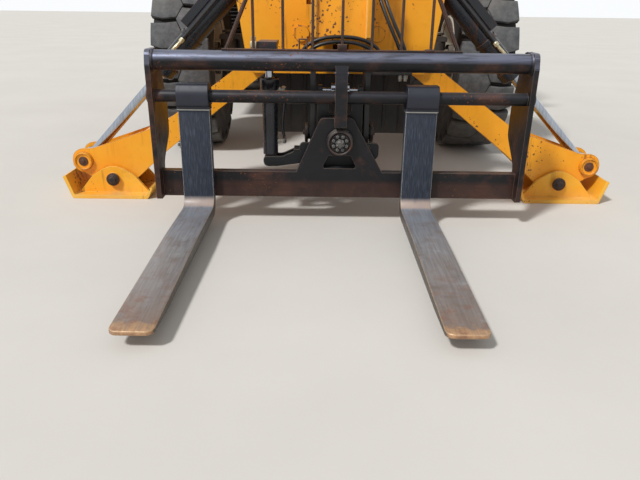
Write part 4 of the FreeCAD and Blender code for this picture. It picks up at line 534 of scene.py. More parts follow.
tyre_rubber, tree, place = material("tyre rubber")
height = put(tree, "ShaderNodeAttribute", attribute_name="height").outputs["Fac"]
scuff = cloud(tree, place, 22.0, 8.0, 0.7)
top = tint(tree, spread(tree, scuff, 0.35, 0.7), shade(62, 64, 67), shade(102, 103, 104))
skin = tint(tree, spread(tree, height, 0.622, 0.634), shade(20, 20, 21), top)
skin = tint(tree, times(tree, spread(tree, height, 0.60, 0.45), 0.6), skin, shade(52, 50, 48))
lying = use(tree, dusting, Height=0.75, Amount=0.45)["Mask"]
lying = times(tree, lying, spread(tree, height, 0.60, 0.64, 0.75, 1.0))
finish(tree, tint(tree, lying, skin, shade(150, 142, 128)), spread(tree, scuff, 0.3, 0.7, 0.72, 0.92),
       relief=maths(tree, "ADD", scuff, cloud(tree, place, 150.0, 2.0)), depth=0.0008, strength=0.6)
rim_paint = coated("wheel cream", (212, 206, 188), (224, 220, 206), wear=0.42, chips=0.30, rust=0.34, dust=0.45,
                   splash_height=0.9, gloss=0.42)
for end in ("front", "rear"):
    for side, sign in (("right", 1), ("left", -1)):
        label = "%s_%s" % (end, side)
        hub = pins[label + "_roll"]
        flip = Matrix.Diagonal((sign, 1, 1, 1))
        own, rim, nuts = meshes(3)
        own.from_mesh(tyre_data)
        layer = own.verts.layers.float.new("height")
        for vert in own.verts:
            vert[layer] = math.hypot(vert.co.y, vert.co.z) + sag(vert.co.x)
        turning(rim, RIM, (0, 0, 0), (1, 0, 0), 64)
        for at in around((DISC_X + 0.018, 0, 0), 0.186, 10, (0, 1, 0)):
            bolt(nuts, at, (1, 0, 0), 0.019, 0.020)
            turning(nuts, [(0.018, 0.009), (0.034, 0.009), (0.036, 0.007)], at, (1, 0, 0), 12)
        for at in around((DISC_X + 0.158, 0, 0), 0.112, 12, (0, 1, 0), start=math.pi / 12):
            bolt(nuts, at, (1, 0, 0), 0.009)
        for part, x in ((own, hub.x), (rim, 0), (nuts, 0)):
            bmesh.ops.transform(part, matrix=Matrix.Translation((x, hub.y, hub.z)) @ flip, verts=part.verts)
        body = label + "_wheel"
        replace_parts(piece(label + "_tread", own, tyre_rubber, body, 30.0), label + "_tyre")
        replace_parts(piece(label + "_wheel_rim", rim, rim_paint, body, 30.0), label + "_rim")
        piece(label + "_wheel_nuts", nuts, zinc, body)


# Fenders: wide black skins moulded in one with their stays, bolted to the chassis over all four wheels.
# Mud and dust lie on them, and their edges are rubbed dull.
fender_plastic = moulded("fender plastic", (36, 37, 38), 0.55, 0.55, 0.9)
dress(fender_plastic, "fenders")


# Stabilisers: dog-legged boxes of folded plate that swing down from the tower, each with a pressed foot on
# a greased pin. Orange like the chassis, rubbed to a pale yellow where the feet scrape the ground.
foot_paint = coated("foot orange", (240, 166, 26), (248, 196, 74), wear=0.62, chips=0.42, rust=0.30,
                    dust=0.34, splash_height=0.07, gloss=0.40, bare_or_highlight=(222, 190, 96))
pin_brown = coated("greased pin", (74, 46, 32), (98, 62, 42), wear=0.5, chips=0.1, rust=0.55, dust=0.1,
                   splash_height=0.1, gloss=0.4)
washer_black = coated("washer black", (26, 22, 22), (44, 34, 30), wear=0.5, chips=0.1, rust=0.40, dust=0.12,
                      splash_height=0.05, gloss=0.4)
dress(orange_paint, "right_leg", "left_leg")
dress(foot_paint, "right_foot", "left_foot")
RAM_FOOT_X, RAM_FOOT_Z = 1.448, 0.197
FOOT_PIN_REACH = 0.145
LEG_FACE_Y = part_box("right_leg")[0].y
for side, sign in (("right", 1), ("left", -1)):
    foot = pins[side + "_foot_turn"]
    pin_end = foot.y - FOOT_PIN_REACH
    rings, ends, washer = meshes(3)
    at = Vector((sign * RAM_FOOT_X, LEG_FACE_Y, RAM_FOOT_Z))
    turning(rings, [(0.0, 0.040), (-0.006, 0.041), (-0.009, 0.045), (-0.007, 0.050), (0.010, 0.0525),
                    (0.012, 0.040), (0.0, 0.040)], at, (0, 1, 0), 40)
    turning(ends, [(0.004, 0.0), (-0.003, 0.0), (-0.005, 0.018), (-0.004, 0.026), (0.002, 0.0285),
                   (0.004, 0.0285), (0.004, 0.0)], at, (0, 1, 0), 36)
    bolt(ends, at + Vector((0, -0.003, 0)), (0, -1, 0), 0.011)
    turning(washer, [(0.006, 0.037), (-0.003, 0.037), (-0.006, 0.034)], (foot.x, pin_end, foot.z),
            (0, 1, 0), 40)
    bolt(washer, (foot.x, pin_end - 0.006, foot.z), (0, -1, 0), 0.020, 0.013)
    piece(side + "_ram_pin_ring", rings, orange_paint, side + "_leg")
    piece(side + "_ram_pin", ends, pin_brown, side + "_leg")
    piece(side + "_foot_bolt", washer, washer_black, side + "_foot")


# Stabiliser rams: honed tubes in gloss black with a screwed gland, a clamp band and an oil pipe that runs
# down to a yellow-zinc elbow. Their rods are hard chrome; a flat guard lies over the outer side.
barrel_paint = coated("cylinder black", (18, 20, 25), (30, 34, 42), wear=0.30, chips=0.14, rust=0.22,
                      dust=0.14, splash_height=0.2, gloss=0.18)
cream_zinc = steel("yellow zinc", (186, 172, 132), (222, 212, 180), 0.34, 0.12, metallic=0.7)
hose_rubber = moulded("hose rubber", (20, 20, 22), 0.26, 0.20, 0.3, grain=260.0, light=1.3)
dress(barrel_paint, "right_ram_barrel", "left_ram_barrel", "lift_barrel", "tilt_barrel", "swing_barrel")
dress(chrome, "right_ram_rod", "left_ram_rod", "lift_rod", "tilt_rod", "swing_rod")
PORT_PIPE = [(0.10, 0.060), (0.10, 0.078), (0.16, 0.078), (0.30, 0.078), (0.50, 0.078), (0.72, 0.078),
             (0.80, 0.080), (0.818, 0.080), (0.818, 0.070)]


def tube(mesh, points, radius, closed=False):
    """A smooth pipe through its route's points, its ends closed, or a bead along a closed route."""
    line = bpy.data.curves.new("route", "CURVE")
    line.dimensions = "3D"
    line.bevel_depth = radius
    line.bevel_resolution = 2 if closed else 4
    line.use_fill_caps = not closed
    line.resolution_u = 6
    spline = line.splines.new("POLY" if closed else "NURBS")
    spline.points.add(len(points) - 1)
    for control, point in zip(spline.points, points):
        control.co = (*point, 1.0)
    spline.order_u = 3
    spline.use_endpoint_u = True
    spline.use_cyclic_u = closed
    carrier = bpy.data.objects.new("route", line)
    data = bpy.data.meshes.new_from_object(carrier)
    mesh.from_mesh(data)
    bpy.data.objects.remove(carrier)
    bpy.data.curves.remove(line)
    bpy.data.meshes.remove(data)


for side, sign in (("right", 1), ("left", -1)):
    top = pins[side + "_ram_turn"]
    along = (Vector((sign * RAM_FOOT_X, top.y, RAM_FOOT_Z)) - top).normalized()
    lower = Vector((0, 1, 0)).cross(along).normalized()
    if lower.z > 0:
        lower = -lower
    pipe_side = (Vector((0, 0.77, 0)) - lower * 0.64).normalized()
    elbow_side = (Vector((0, -0.95, 0)) - lower * 0.30).normalized()
    glands, pipes, elbows = meshes(3)
    turning(glands, [(0.846, 0.0575), (0.846, 0.066), (0.852, 0.068), (0.896, 0.068), (0.904, 0.062),
                     (0.906, 0.040), (0.912, 0.036), (0.912, 0.0285), (0.846, 0.0575)], top, along, 48)
    for notch in around(top, 0.050, 6, lower, along.cross(lower)):
        turning(glands, [(0.902, 0.005), (0.909, 0.005)], notch, along, 10)
    for at in (0.64, 0.30):
        turning(glands, [(at, 0.0572), (at, 0.0650), (at + 0.020, 0.0650), (at + 0.020, 0.0572),
                         (at, 0.0572)], top, along, 48)
        turning(glands, [(at + 0.002, 0.017), (at + 0.018, 0.017)], top + pipe_side * 0.078, along, 16)
    tube(pipes, [top + along * a + pipe_side * b for a, b in PORT_PIPE], 0.0075)
    turning(elbows, [(0.0, 0.019), (0.010, 0.019), (0.012, 0.014), (0.030, 0.014)],
            top + along * 0.818 + pipe_side * 0.056, pipe_side, 6)
    elbow = top + along * 0.760 + elbow_side * 0.054
    turning(elbows, [(0.0, 0.017), (0.014, 0.017), (0.016, 0.012), (0.026, 0.012), (0.028, 0.0)], elbow,
            elbow_side, 6)
    start = elbow + elbow_side * 0.022
    tube(elbows, [start - along * a + elbow_side * b for a, b in (
        (0, -0.006), (0, 0.006), (0.020, 0.008), (0.050, 0), (0.090, 0))], 0.009)
    turning(elbows, [(0.0, 0.015), (0.020, 0.015)], start - along * 0.066, -along, 6)
    tube(pipes, [start - along * a - elbow_side * b for a, b in (
        (0.080, 0), (0.130, 0), (0.300, 0), (0.480, 0), (0.600, 0), (0.640, 0.010), (0.650, 0.024))], 0.008)
    body = side + "_ram_barrel"
    piece(side + "_ram_gland", glands, barrel_paint, body)
    piece(side + "_ram_pipe", pipes, hose_rubber, body, 60.0)
    piece(side + "_ram_elbows", elbows, cream_zinc, body, 50.0)


# Boom: three folded steel boxes that slide in each other on bolted wear pads, with the head of the
# innermost one welded from plate. Orange enamel; two steel oil pipes run along the outer box in clips.
# Boom head: edges pale yellow, partly wear and partly painted highlight; below 0.8 m painted near black as painted
# shade behind the carriage.
head_paint = coated("boom head orange", (240, 154, 10), (246, 172, 34), wear=0.66, chips=0.48, rust=0.33,
                    dust=0.20, splash_height=0.20, gloss=0.36, edge_radius=0.008, bare_or_highlight=(252, 220, 130),
                    shade_below=0.800)
dress(orange_paint, "boom_outer", "boom_mid")
dress(head_paint, "boom_inner")
SLOPE = math.radians(4.5)
BOOM_PIN = pins["boom_lift"]
COLLARS = (("boom_outer", 5.160, 0.164, 0.224, (0.040, 0.120)), ("boom_mid", 5.270, 0.140, 0.200, (0.050,)))
PIPE_RUN = [(0.22, 0.148), (0.24, 0.172), (0.32, 0.174), (0.9, 0.174), (1.8, 0.174), (2.8, 0.174),
            (3.8, 0.174), (4.6, 0.174), (4.80, 0.174), (4.84, 0.172), (4.86, 0.148)]
PIPE_MIDDLE = 0.0375
PIVOT_COVER = 0.088


def on_boom(distance, up, across=0.0):
    """A point that lies along the boom from its pivot, up from its centreline and across it."""
    return Vector((across, BOOM_PIN.y - distance * math.cos(SLOPE) - up * math.sin(SLOPE),
                   BOOM_PIN.z - distance * math.sin(SLOPE) + up * math.cos(SLOPE)))


upward = on_boom(0, 1) - on_boom(0, 0)
for body, mouth, half_wide, half_high, rows in COLLARS:
    heads = bmesh.new()
    for back in rows:
        for sign in (1, -1):
            for across in (-0.075, 0.0, 0.075):
                bolt(heads, on_boom(mouth - back, sign * half_high, across), upward * sign, 0.013)
            for up in (-0.130, -0.045, 0.045, 0.130):
                bolt(heads, on_boom(mouth - back, up, sign * half_wide), (sign, 0, 0), 0.013)
    piece(body + "_pad_bolts", heads, zinc, body)
pipes, clips, covers, studs = meshes(4)
for up in (0.020, 0.055):
    tube(pipes, [on_boom(along, up, -out) for along, out in PIPE_RUN], 0.010)
for k in range(8):
    at = 0.45 + 0.58 * k
    block(clips, (-0.023, -0.0225, -0.0425), (0.023, 0.0225, 0.0425), 0.004,
          Matrix.Translation(on_boom(at, PIPE_MIDDLE, -0.172)) @ Matrix.Rotation(SLOPE, 4, "X"))
    bolt(clips, on_boom(at, PIPE_MIDDLE, -0.194), (-1, 0, 0), 0.009)
for side in (1, -1):
    face = Vector((side * 0.395, BOOM_PIN.y, BOOM_PIN.z))
    turning(covers, [(-0.01, PIVOT_COVER - 0.006), (0.004, PIVOT_COVER), (0.012, PIVOT_COVER - 0.006)], face,
            (side, 0, 0), 48)
    for at in around(face + Vector((side * 0.012, 0, 0)), 0.062, 6, (0, 1, 0)):
        bolt(studs, at, (side, 0, 0), 0.012)
piece("boom_pipes", pipes, barrel_paint, "boom_outer", 60.0)
piece("boom_pipe_clips", clips, black_plastic, "boom_outer")
piece("boom_pivot_covers", covers, black_paint, "root")
piece("boom_pivot_bolts", studs, zinc, "root")


# Hoses of the boom head: a pair that arches across the head between two manifold blocks, and the service
# pair that runs down to quick couplers on a shelf. Rubber over wire braid, shiny where they are rubbed.
HOSE_Y = pins["hitch_tilt"].y - 0.046
HOSE_TOP = 0.905
HOSE_R = 0.009
SHELF_TOP = 0.742
COUPLER_X = 0.322
HALF_ARCHES = (
    [(0.050, -0.001), (0.105, -0.012), (0.152, -0.032), (0.188, -0.062), (0.199, -0.112), (0.197, -0.150)],
    [(0.046, -0.024), (0.096, -0.035), (0.138, -0.053), (0.168, -0.080), (0.176, -0.122), (0.174, -0.150)])
SERVICE = [(0.198, 0.114, 1.205), (0.198, 0.112, 1.150), (0.208, 0.088, 1.095), (0.228, 0.053, 1.035),
           (0.262, 0.021, 0.955), (0.302, 0.004, 0.875), (0.320, 0.002, 0.825), (COUPLER_X, 0.006, 0.782),
           (COUPLER_X, 0.006, 0.762)]
hoses, couplers, ends, plate_bolts = meshes(4)
for half in HALF_ARCHES:
    route = [(-x, z) for x, z in reversed(half)] + half
    tube(hoses, [(x, HOSE_Y, HOSE_TOP + z) for x, z in route], HOSE_R)
    for side in (1, -1):
        turning(ends, [(-0.170, 0.013), (-0.150, 0.013), (-0.148, 0.0115), (-0.122, 0.0110)],
                (side * half[-1][0], HOSE_Y, HOSE_TOP + 0.010), (0, 0, 1), 12)
for x in (-0.179, 0.179):
    block(couplers, (x - 0.031, HOSE_Y - 0.013, SHELF_TOP), (x + 0.031, HOSE_Y + 0.015, SHELF_TOP + 0.025),
          0.003)
for shift in (0.0, -0.026):
    tube(hoses, [(x + shift, HOSE_Y + y, z) for x, y, z in SERVICE], HOSE_R)
    foot = (COUPLER_X + shift, HOSE_Y + 0.006, SHELF_TOP)
    turning(ends, [(0.0, 0.0125), (0.020, 0.0125), (0.022, 0.0115), (0.046, 0.0110)], foot, (0, 0, 1), 12)
    turning(ends, [(-0.044, 0.0085), (-0.034, 0.0085), (-0.032, 0.0125), (-0.014, 0.0125)], foot, (0, 0, 1),
            20)
block(couplers, (0.148, HOSE_Y + 0.099, 1.188), (0.215, HOSE_Y + 0.129, 1.217), 0.004)
bolt(ends, (0.181, HOSE_Y + 0.114, 1.217), (0, 0, 1), 0.008)
for side in (1, -1):
    for up in (-0.110, -0.040, 0.040, 0.110):
        bolt(plate_bolts, on_boom(5.325, up, side * 0.148), (side, 0, 0), 0.012)
    for name, radius, reach in (("hitch_tilt", 0.052, 0.168), ("tilt_barrel_turn", 0.036, 0.158)):
        at = Vector((side * reach, pins[name].y, pins[name].z))
        turning(plate_bolts, [(-0.008, radius), (0.004, radius), (0.008, radius - 0.004)], at, (side, 0, 0), 36)
        bolt(plate_bolts, at + Vector((side * 0.008, 0, 0)), (side, 0, 0), 0.012)
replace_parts(piece("head_hose_lines", hoses, hose_rubber, "boom_inner", 60.0), "head_hoses")
piece("head_hose_blocks", couplers, black_paint, "boom_inner")
piece("head_hose_fittings", ends, zinc, "boom_inner", 30.0)
piece("boom_head_bolts", plate_bolts, washer_black, "boom_inner")


# Hitch and fork carriage: thick plate, a round tube and a solid bar welded into a frame, in black paint rusty brown
# below. What faces up is lighter bluish steel, partly worn and partly painted reflection of the sky, kept dark on the
# fork shaft as painted shadow of the tube. The frame swings on one pin with a castle nut in a ring of bolts.
BROWN_TOP, BROWN_FULL = 0.226, 0.202      # heights on the lower beam
# Below the first height the painted sky reflection is cut back, as painted shadow of the tube on the fork shaft; above
# the second it is full.
SHEEN_SHADED_BELOW, SHEEN_FULL_ABOVE = 0.68, 0.74        # heights between the fork shaft and the tube


def worn(name, dark, scuffed_and_sheen, rusty, rust, streaks=(6.0, 60.0, 60.0), sheen_left_in_shade=1.0, low_rust=0.0, dust=0.08):
    """Black paint worn thin, rusty brown below; what faces up is lighter bluish steel, partly scuffed and partly
    painted reflection of the sky, cut back below a height as painted shadow.
    """
    made, tree, place = material(name, {"Specular IOR Level": 0.3})
    dark, scuffed_and_sheen, rusty = shade(*dark), shade(*scuffed_and_sheen), shade(*rusty)
    facing = parted(tree, put(tree, "ShaderNodeNewGeometry").outputs["Normal"])[2]
    height = parted(tree, place)[2]
    edges = use(tree, edge_wear, Radius=0.004, Breakup=26.0, Amount=0.6)
    pits = use(tree, chipping, Scale=70.0, Amount=0.34)
    through = use(tree, rusting, Scale=5.0, Amount=rust)
    lines = drawn(tree, place, *streaks)
    broad = cloud(tree, place, 9.0, 8.0, 0.7)
    coat = tint(tree, spread(tree, broad, 0.4, 0.7), dark, tuple(c * 1.5 for c in dark))
    coat = tint(tree, times(tree, through["Mask"], spread(tree, lines, 0.35, 0.6, 0.35, 0.9)), coat, rusty)
    brown = times(tree, spread(tree, height, BROWN_TOP, BROWN_FULL, 0.0, low_rust),
                  spread(tree, broad, 0.3, 0.55, 0.4, 1.0))
    coat = tint(tree, brown, coat, rusty)
    # Painted reflection with real scuffs: faces turned up are lightened to bluish steel along the streaks; below the
    # tube it is cut back as painted shadow.
    sky_sheen_and_scuffs = times(tree, spread(tree, facing, -0.05, 0.45), spread(tree, lines, 0.22, 0.52))
    sky_sheen_and_scuffs = times(tree, sky_sheen_and_scuffs, spread(tree, height, SHEEN_SHADED_BELOW, SHEEN_FULL_ABOVE, sheen_left_in_shade, 1.0))
    coat = tint(tree, sky_sheen_and_scuffs, coat, scuffed_and_sheen)
    coat = tint(tree, times(tree, edges["Mask"], 0.7), coat, shade(132, 112, 98))
    coat = tint(tree, pits["Mask"], coat, through["Color"])
    coat = tint(tree, use(tree, dusting, Height=0.20, Amount=dust)["Mask"], coat, DUST)
    finish(tree, coat, spread(tree, maths(tree, "MAXIMUM", through["Mask"], broad), 0.3, 1.0, 0.32, 0.62),
           spread(tree, sky_sheen_and_scuffs, 0.0, 1.0, 0.0, 0.55),
           relief=maths(tree, "ADD", times(tree, through["Height"], through["Mask"]), times(tree, broad, 0.5)),
           depth=0.0010, strength=0.7, normal=edges["Normal"])
    return made


# On the carriage the fork shaft keeps a tenth of the painted reflection, as painted shadow of the tube above it.
carriage_steel = worn("carriage steel", (16, 15, 18), (106, 110, 127), (74, 46, 35), 0.50, sheen_left_in_shade=0.10,
                      low_rust=0.55)
# The hitch is darker and duller than the carriage, partly from its own black paint and partly as painted shade behind
# the carriage.
shaded_hitch_steel = worn("hitch steel in painted shade", (13, 15, 17), (52, 56, 60), (46, 35, 30), 0.38)
bar_steel = worn("backrest bars", (24, 19, 19), (78, 66, 62), (76, 38, 24), 0.56, streaks=(60.0, 60.0, 6.0),
                 dust=0.15)
dull_steel = steel("dull steel", (70, 70, 72), (104, 102, 98), 0.48, 0.40, metallic=0.6)
dress(carriage_steel, "fork_carriage")
dress(shaded_hitch_steel, "hitch")
dress(bar_steel, "load_backrest")
TUBE_Y, TUBE_Z = -2.565, 0.801
SHAFT_Z = 0.637
BEAM_LOW, BEAM_HIGH = 0.137, 0.263
PLATE_IN, PLATE_OUT = 0.884, 0.910
cap = Vector((0, -2.583, pins["carriage_swing"].z))
housing, ring, nut, welds, stops, connector = meshes(6)
turning(housing, [(0.018, 0.049), (-0.004, 0.050), (-0.008, 0.054), (-0.006, 0.060), (0.004, 0.066),
                  (0.018, 0.067), (0.018, 0.049)], cap, (0, 1, 0), 48)
for at in around(cap, 0.034, 8, (1, 0, 0), start=math.pi / 8):
    bolt(ring, at, (0, -1, 0), 0.0088, 0.008, washer=False)
turning(nut, [(0.0, 0.0225), (-0.003, 0.0235), (-0.014, 0.0235)], cap, (0, 1, 0), 6)
turning(nut, [(-0.010, 0.013), (-0.022, 0.013), (-0.024, 0.011)], cap, (0, 1, 0), 24)
for turn in range(6):
    block(nut, (-0.0032, -0.021, 0.0125), (0.0032, -0.013, 0.0215), 0.001,
          Matrix.Translation(cap) @ Matrix.Rotation(math.tau * turn / 6, 4, "Y"))
for side in (1, -1):
    turning(welds, [(-0.002, 0.043), (-0.002, 0.055), (-0.008, 0.052), (-0.013, 0.046), (-0.013, 0.043),
                    (-0.002, 0.043)], (side * PLATE_IN, TUBE_Y, TUBE_Z), (side, 0, 0), 40)
    for z in (BEAM_LOW, BEAM_HIGH):
        tube(welds, [(side * PLATE_IN, -2.532 + k * 0.008, z) for k in range(5)], 0.005)
    turning(welds, [(0.0, 0.040), (0.006, 0.040), (0.009, 0.036)], (side * PLATE_OUT, TUBE_Y, SHAFT_Z),
            (side, 0, 0), 36)
    tube(welds, [(side * 0.02988, -2.612 + 0.012 * k, 0.755 - 0.004 * k) for k in range(4)], 0.004)
for low, high, soft in (((-0.022, -2.578, 0.848), (0.022, -2.552, 0.880), 0.003),
                        ((0.384, -2.580, 0.846), (0.430, -2.550, 0.861), 0.006),
                        ((-0.202, -2.572, 0.848), (-0.196, -2.545, 0.900), 0.001),
                        ((-0.166, -2.572, 0.848), (-0.160, -2.545, 0.900), 0.001),
                        ((-0.202, -2.572, 0.896), (-0.160, -2.545, 0.902), 0.001)):
    block(stops, low, high, soft)
block(connector, (-0.432, -2.520, 0.845), (-0.400, -2.488, 0.885), 0.006)
turning(connector, [(-0.01, 0.012), (0.022, 0.012), (0.024, 0)], (-0.416, -2.504, 0.884), (0, 0, 1), 12)
piece("swing_housing", housing, black_paint, "carriage")
piece("swing_bolt_ring", ring, dull_steel, "hitch", 25.0)
piece("swing_nut", nut, dull_steel, "hitch", 25.0)
piece("carriage_welds", welds, carriage_steel, "carriage", 60.0)
piece("carriage_stops", stops, bar_steel, "carriage")
piece("carriage_connector", connector, cream_zinc, "carriage")


# Swing cylinder: a short cylinder that tips the carriage sideways, with bright elbows at both oil ports
# and a short hose that joins them at its side.
swing = pins["swing_barrel_turn"]
ports, loops, gland = meshes(3)
for z in (0.655, 0.400):
    at = Vector((swing.x + 0.036, swing.y, z))
    turning(ports, [(0.0, 0.013), (0.014, 0.013), (0.016, 0.010), (0.030, 0.010)], at, (1, 0, 0), 6)
    turning(ports, [(-0.013, 0.011), (0.013, 0.011)], at + Vector((0.034, 0, 0)), (0, -0.5, 1), 6)
turning(gland, [(0.0, 0.039), (0.0, 0.045), (0.004, 0.047), (0.050, 0.047), (0.056, 0.042), (0.056, 0.026),
                (0.060, 0.022), (0.060, 0.0205), (0.0, 0.039)], (swing.x, swing.y, 0.654), (0, 0, 1), 40)
tube(loops, [(swing.x + x, swing.y + y, z) for x, y, z in (
    (0.070, 0.0, 0.650), (0.072, -0.008, 0.615), (0.070, -0.010, 0.560), (0.062, -0.006, 0.500),
    (0.062, 0.0, 0.450), (0.070, 0.0, 0.418))], 0.008)
piece("swing_gland", gland, barrel_paint, "swing_barrel", 30.0)
piece("swing_ports", ports, zinc, "swing_barrel", 30.0)
piece("swing_hose", loops, hose_rubber, "swing_barrel", 60.0)


# Forks: each forged from one bar, bent at the heel and tapered to a rounded tip, and hung from a round
# shaft by a welded eye. Blue-grey steel with drawn scratches, the blue partly mill scale and partly painted reflection
# of the sky, the blade's top lightened as painted reflection too; tan at heel and tip, the heel's band partly painted
# highlight; rusty near the end.
FORK_HALF = 0.075
FORK_THICK = 0.050
FORK_LOW = 0.050
BLADE = 1.220
HEEL_IN, HEEL_OUT = 0.055, 0.095
SHANK_TOP = 0.600
SHAFT_R = 0.0305
HOOK = [(-0.024, 0.592), (0.084, 0.592), (0.089, 0.657), (0.070, 0.697), (-0.008, 0.697), (-0.029, 0.657)]
# Colour along the blade from tip to heel: tan rust and wear at the tip, then grey lightened and blued as painted
# reflection of the sky on the worn top.
TAN_TO_BLUE = [(0.00, (204, 158, 114)), (0.030, (184, 146, 108)), (0.052, (142, 124, 112)),
               (0.22, (146, 138, 134)), (0.50, (152, 150, 150)), (0.80, (148, 152, 160)),
               (0.97, (140, 147, 158))]
fork_steel, tree, place = material("fork steel")
at = parted(tree, place)
edges = use(tree, edge_wear, Radius=0.006, Breakup=40.0, Amount=0.9)
through = use(tree, rusting, Scale=11.0, Amount=0.5)
tip_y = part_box("left_fork")[0].y
reach = spread(tree, at[1], tip_y, tip_y + BLADE)
mottle = cloud(tree, place, 14.0, 9.0, 0.72)
lengthways = drawn(tree, place, 130.0, 5.0, 130.0, 6.0)
scratches = drawn(tree, place, 420.0, 420.0, 16.0, 6.0)
uneven = maths(tree, "ADD", reach, spread(tree, mottle, 0.3, 0.7, -0.05, 0.05))
ramp = put(tree, "ShaderNodeValToRGB", {"Fac": uneven})
while len(ramp.color_ramp.elements) < len(TAN_TO_BLUE):
    ramp.color_ramp.elements.new(0.5)
for stop, (where, colour) in zip(ramp.color_ramp.elements, TAN_TO_BLUE):
    stop.position = where
    stop.color = (*shade(*colour), 1.0)
blade = tint(tree, spread(tree, lengthways, 0.35, 0.68, 0.0, 0.5), ramp.outputs["Color"], shade(96, 92, 92))
blade = tint(tree, spread(tree, mottle, 0.58, 0.78, 0.0, 0.5), blade, shade(182, 184, 190))
blade = tint(tree, spread(tree, mottle, 0.48, 0.28, 0.0, 0.7), blade, shade(122, 104, 92))
rusty = times(tree, through["Mask"], spread(tree, reach, 0.42, 0.10, 0.10, 0.70))
blade = tint(tree, rusty, blade, shade(118, 78, 58))
# Shank: dark blue-grey with lighter scratches, the blue partly painted reflection of the sky.
shank = tint(tree, spread(tree, scratches, 0.50, 0.72), shade(31, 39, 53), shade(76, 85, 100))
shank = tint(tree, spread(tree, mottle, 0.40, 0.72, 0.0, 0.35), shank, shade(58, 56, 60))
is_shank = spread(tree, at[2], 0.105, 0.150)
# A tan band at the bend of the heel, partly wear and partly painted highlight of the bend.
heel = times(tree, spread(tree, at[2], 0.101, 0.108), spread(tree, at[2], 0.150, 0.128))
heel_tan_and_highlight = times(tree, heel, spread(tree, mottle, 0.25, 0.55, 0.35, 0.90))
metal = tint(tree, heel_tan_and_highlight, tint(tree, is_shank, blade, shank), shade(166, 146, 134))
sideways = maths(tree, "ABSOLUTE", parted(tree, put(tree, "ShaderNodeNewGeometry").outputs["Normal"])[0])
flank = times(tree, spread(tree, sideways, 0.7, 0.95), spread(tree, at[2], 0.2, 0.1))
metal = tint(tree, times(tree, flank, 0.9), metal, shade(72, 64, 56))
rubbed = tint(tree, is_shank, shade(206, 176, 140), shade(212, 210, 206))
metal = tint(tree, times(tree, edges["Mask"], 0.85), metal, rubbed)
hook = spread(tree, at[2], 0.5765, 0.5775)
metal = tint(tree, hook, metal, tint(tree, mottle, shade(22, 24, 34), shade(34, 38, 52)))
step = times(tree, spread(tree, at[2], 0.572, 0.574), spread(tree, at[2], 0.580, 0.578))
metal = tint(tree, step, metal, shade(196, 196, 192))
shiny = times(tree, maths(tree, "SUBTRACT", 1.0, maths(tree, "MAXIMUM", hook, heel)),
              spread(tree, rusty, 0.0, 0.6, 0.35, 0.05))
finish(tree, metal, maths(tree, "ADD", spread(tree, mottle, 0.3, 0.7, 0.34, 0.56), times(tree, rusty, 0.25)),
       shiny, relief=maths(tree, "ADD", times(tree, mottle, 0.6), times(tree, lengthways, 0.3)),
       depth=0.0008, strength=0.6, normal=edges["Normal"])


def edges_near(mesh, y, z):
    """Edges that run across a fork at one place of its side outline."""
    return [edge for edge in mesh.edges
            if all(abs(vert.co.y - y) < 0.0005 and abs(vert.co.z - z) < 0.0005 for vert in edge.verts)]


for side in ("left", "right"):
    low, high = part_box(side + "_fork")
    inner, tip, shank_y = (low.x + high.x) / 2 - FORK_HALF, low.y, low.y + BLADE
    fork, ear = meshes(2)
    outline = [(shank_y + FORK_THICK, SHANK_TOP), (shank_y + FORK_THICK, FORK_LOW), (tip + 0.200, FORK_LOW),
               (tip, FORK_LOW + 0.008), (tip, FORK_LOW + 0.024), (shank_y - 0.420, FORK_LOW + FORK_THICK),
               (shank_y, FORK_LOW + FORK_THICK), (shank_y, SHANK_TOP)]
    push_out(fork, [fork.faces.new([fork.verts.new((inner, y, z)) for y, z in outline])],
             (2 * FORK_HALF, 0, 0))
    bevel(fork, edges_near(fork, shank_y + FORK_THICK, FORK_LOW), HEEL_OUT, 10)
    bevel(fork, edges_near(fork, shank_y, FORK_LOW + FORK_THICK), HEEL_IN, 8)
    corners = [edge for edge in fork.edges if all(abs(vert.co.y - tip) < 0.0005 for vert in edge.verts)
               and abs(edge.verts[0].co.x - edge.verts[1].co.x) < 0.0005]
    bevel(fork, corners, 0.030, 7)
    soften(fork, 0.0025, 40.0)
    shaft = Vector((inner, shank_y + 0.030, SHAFT_Z))
    loop = [ear.verts.new((inner, shank_y + y, z)) for y, z in HOOK]
    rims = [ear.edges.new(pair) for pair in zip(loop, loop[1:] + loop[:1])]
    hole = bmesh.ops.create_circle(ear, segments=32, radius=SHAFT_R,
                                   matrix=Matrix.Translation(shaft) @ Matrix.Rotation(math.pi / 2, 4, "Y"))
    rims += list({edge for vert in hole["verts"] for edge in vert.link_edges})
    push_out(ear, bmesh.ops.bridge_loops(ear, edges=rims)["faces"], (2 * FORK_HALF, 0, 0))
    bmesh.ops.recalc_face_normals(ear, faces=ear.faces)
    uprights = [edge for edge in ear.edges if abs(edge.verts[0].co.x - edge.verts[1].co.x) > 0.1
                and math.hypot(edge.verts[0].co.y - shaft.y, edge.verts[0].co.z - shaft.z) > 0.045]
    bevel(ear, uprights, 0.012, 4)
    join(fork, ear)
    block(fork, (inner - 0.004, shank_y - 0.008, 0.576),
          (inner + 2 * FORK_HALF + 0.004, shank_y + 0.044, 0.5925), 0.002)
    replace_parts(piece(side + "_fork_forging", fork, fork_steel, side + "_fork", 30.0),
                side + "_fork")


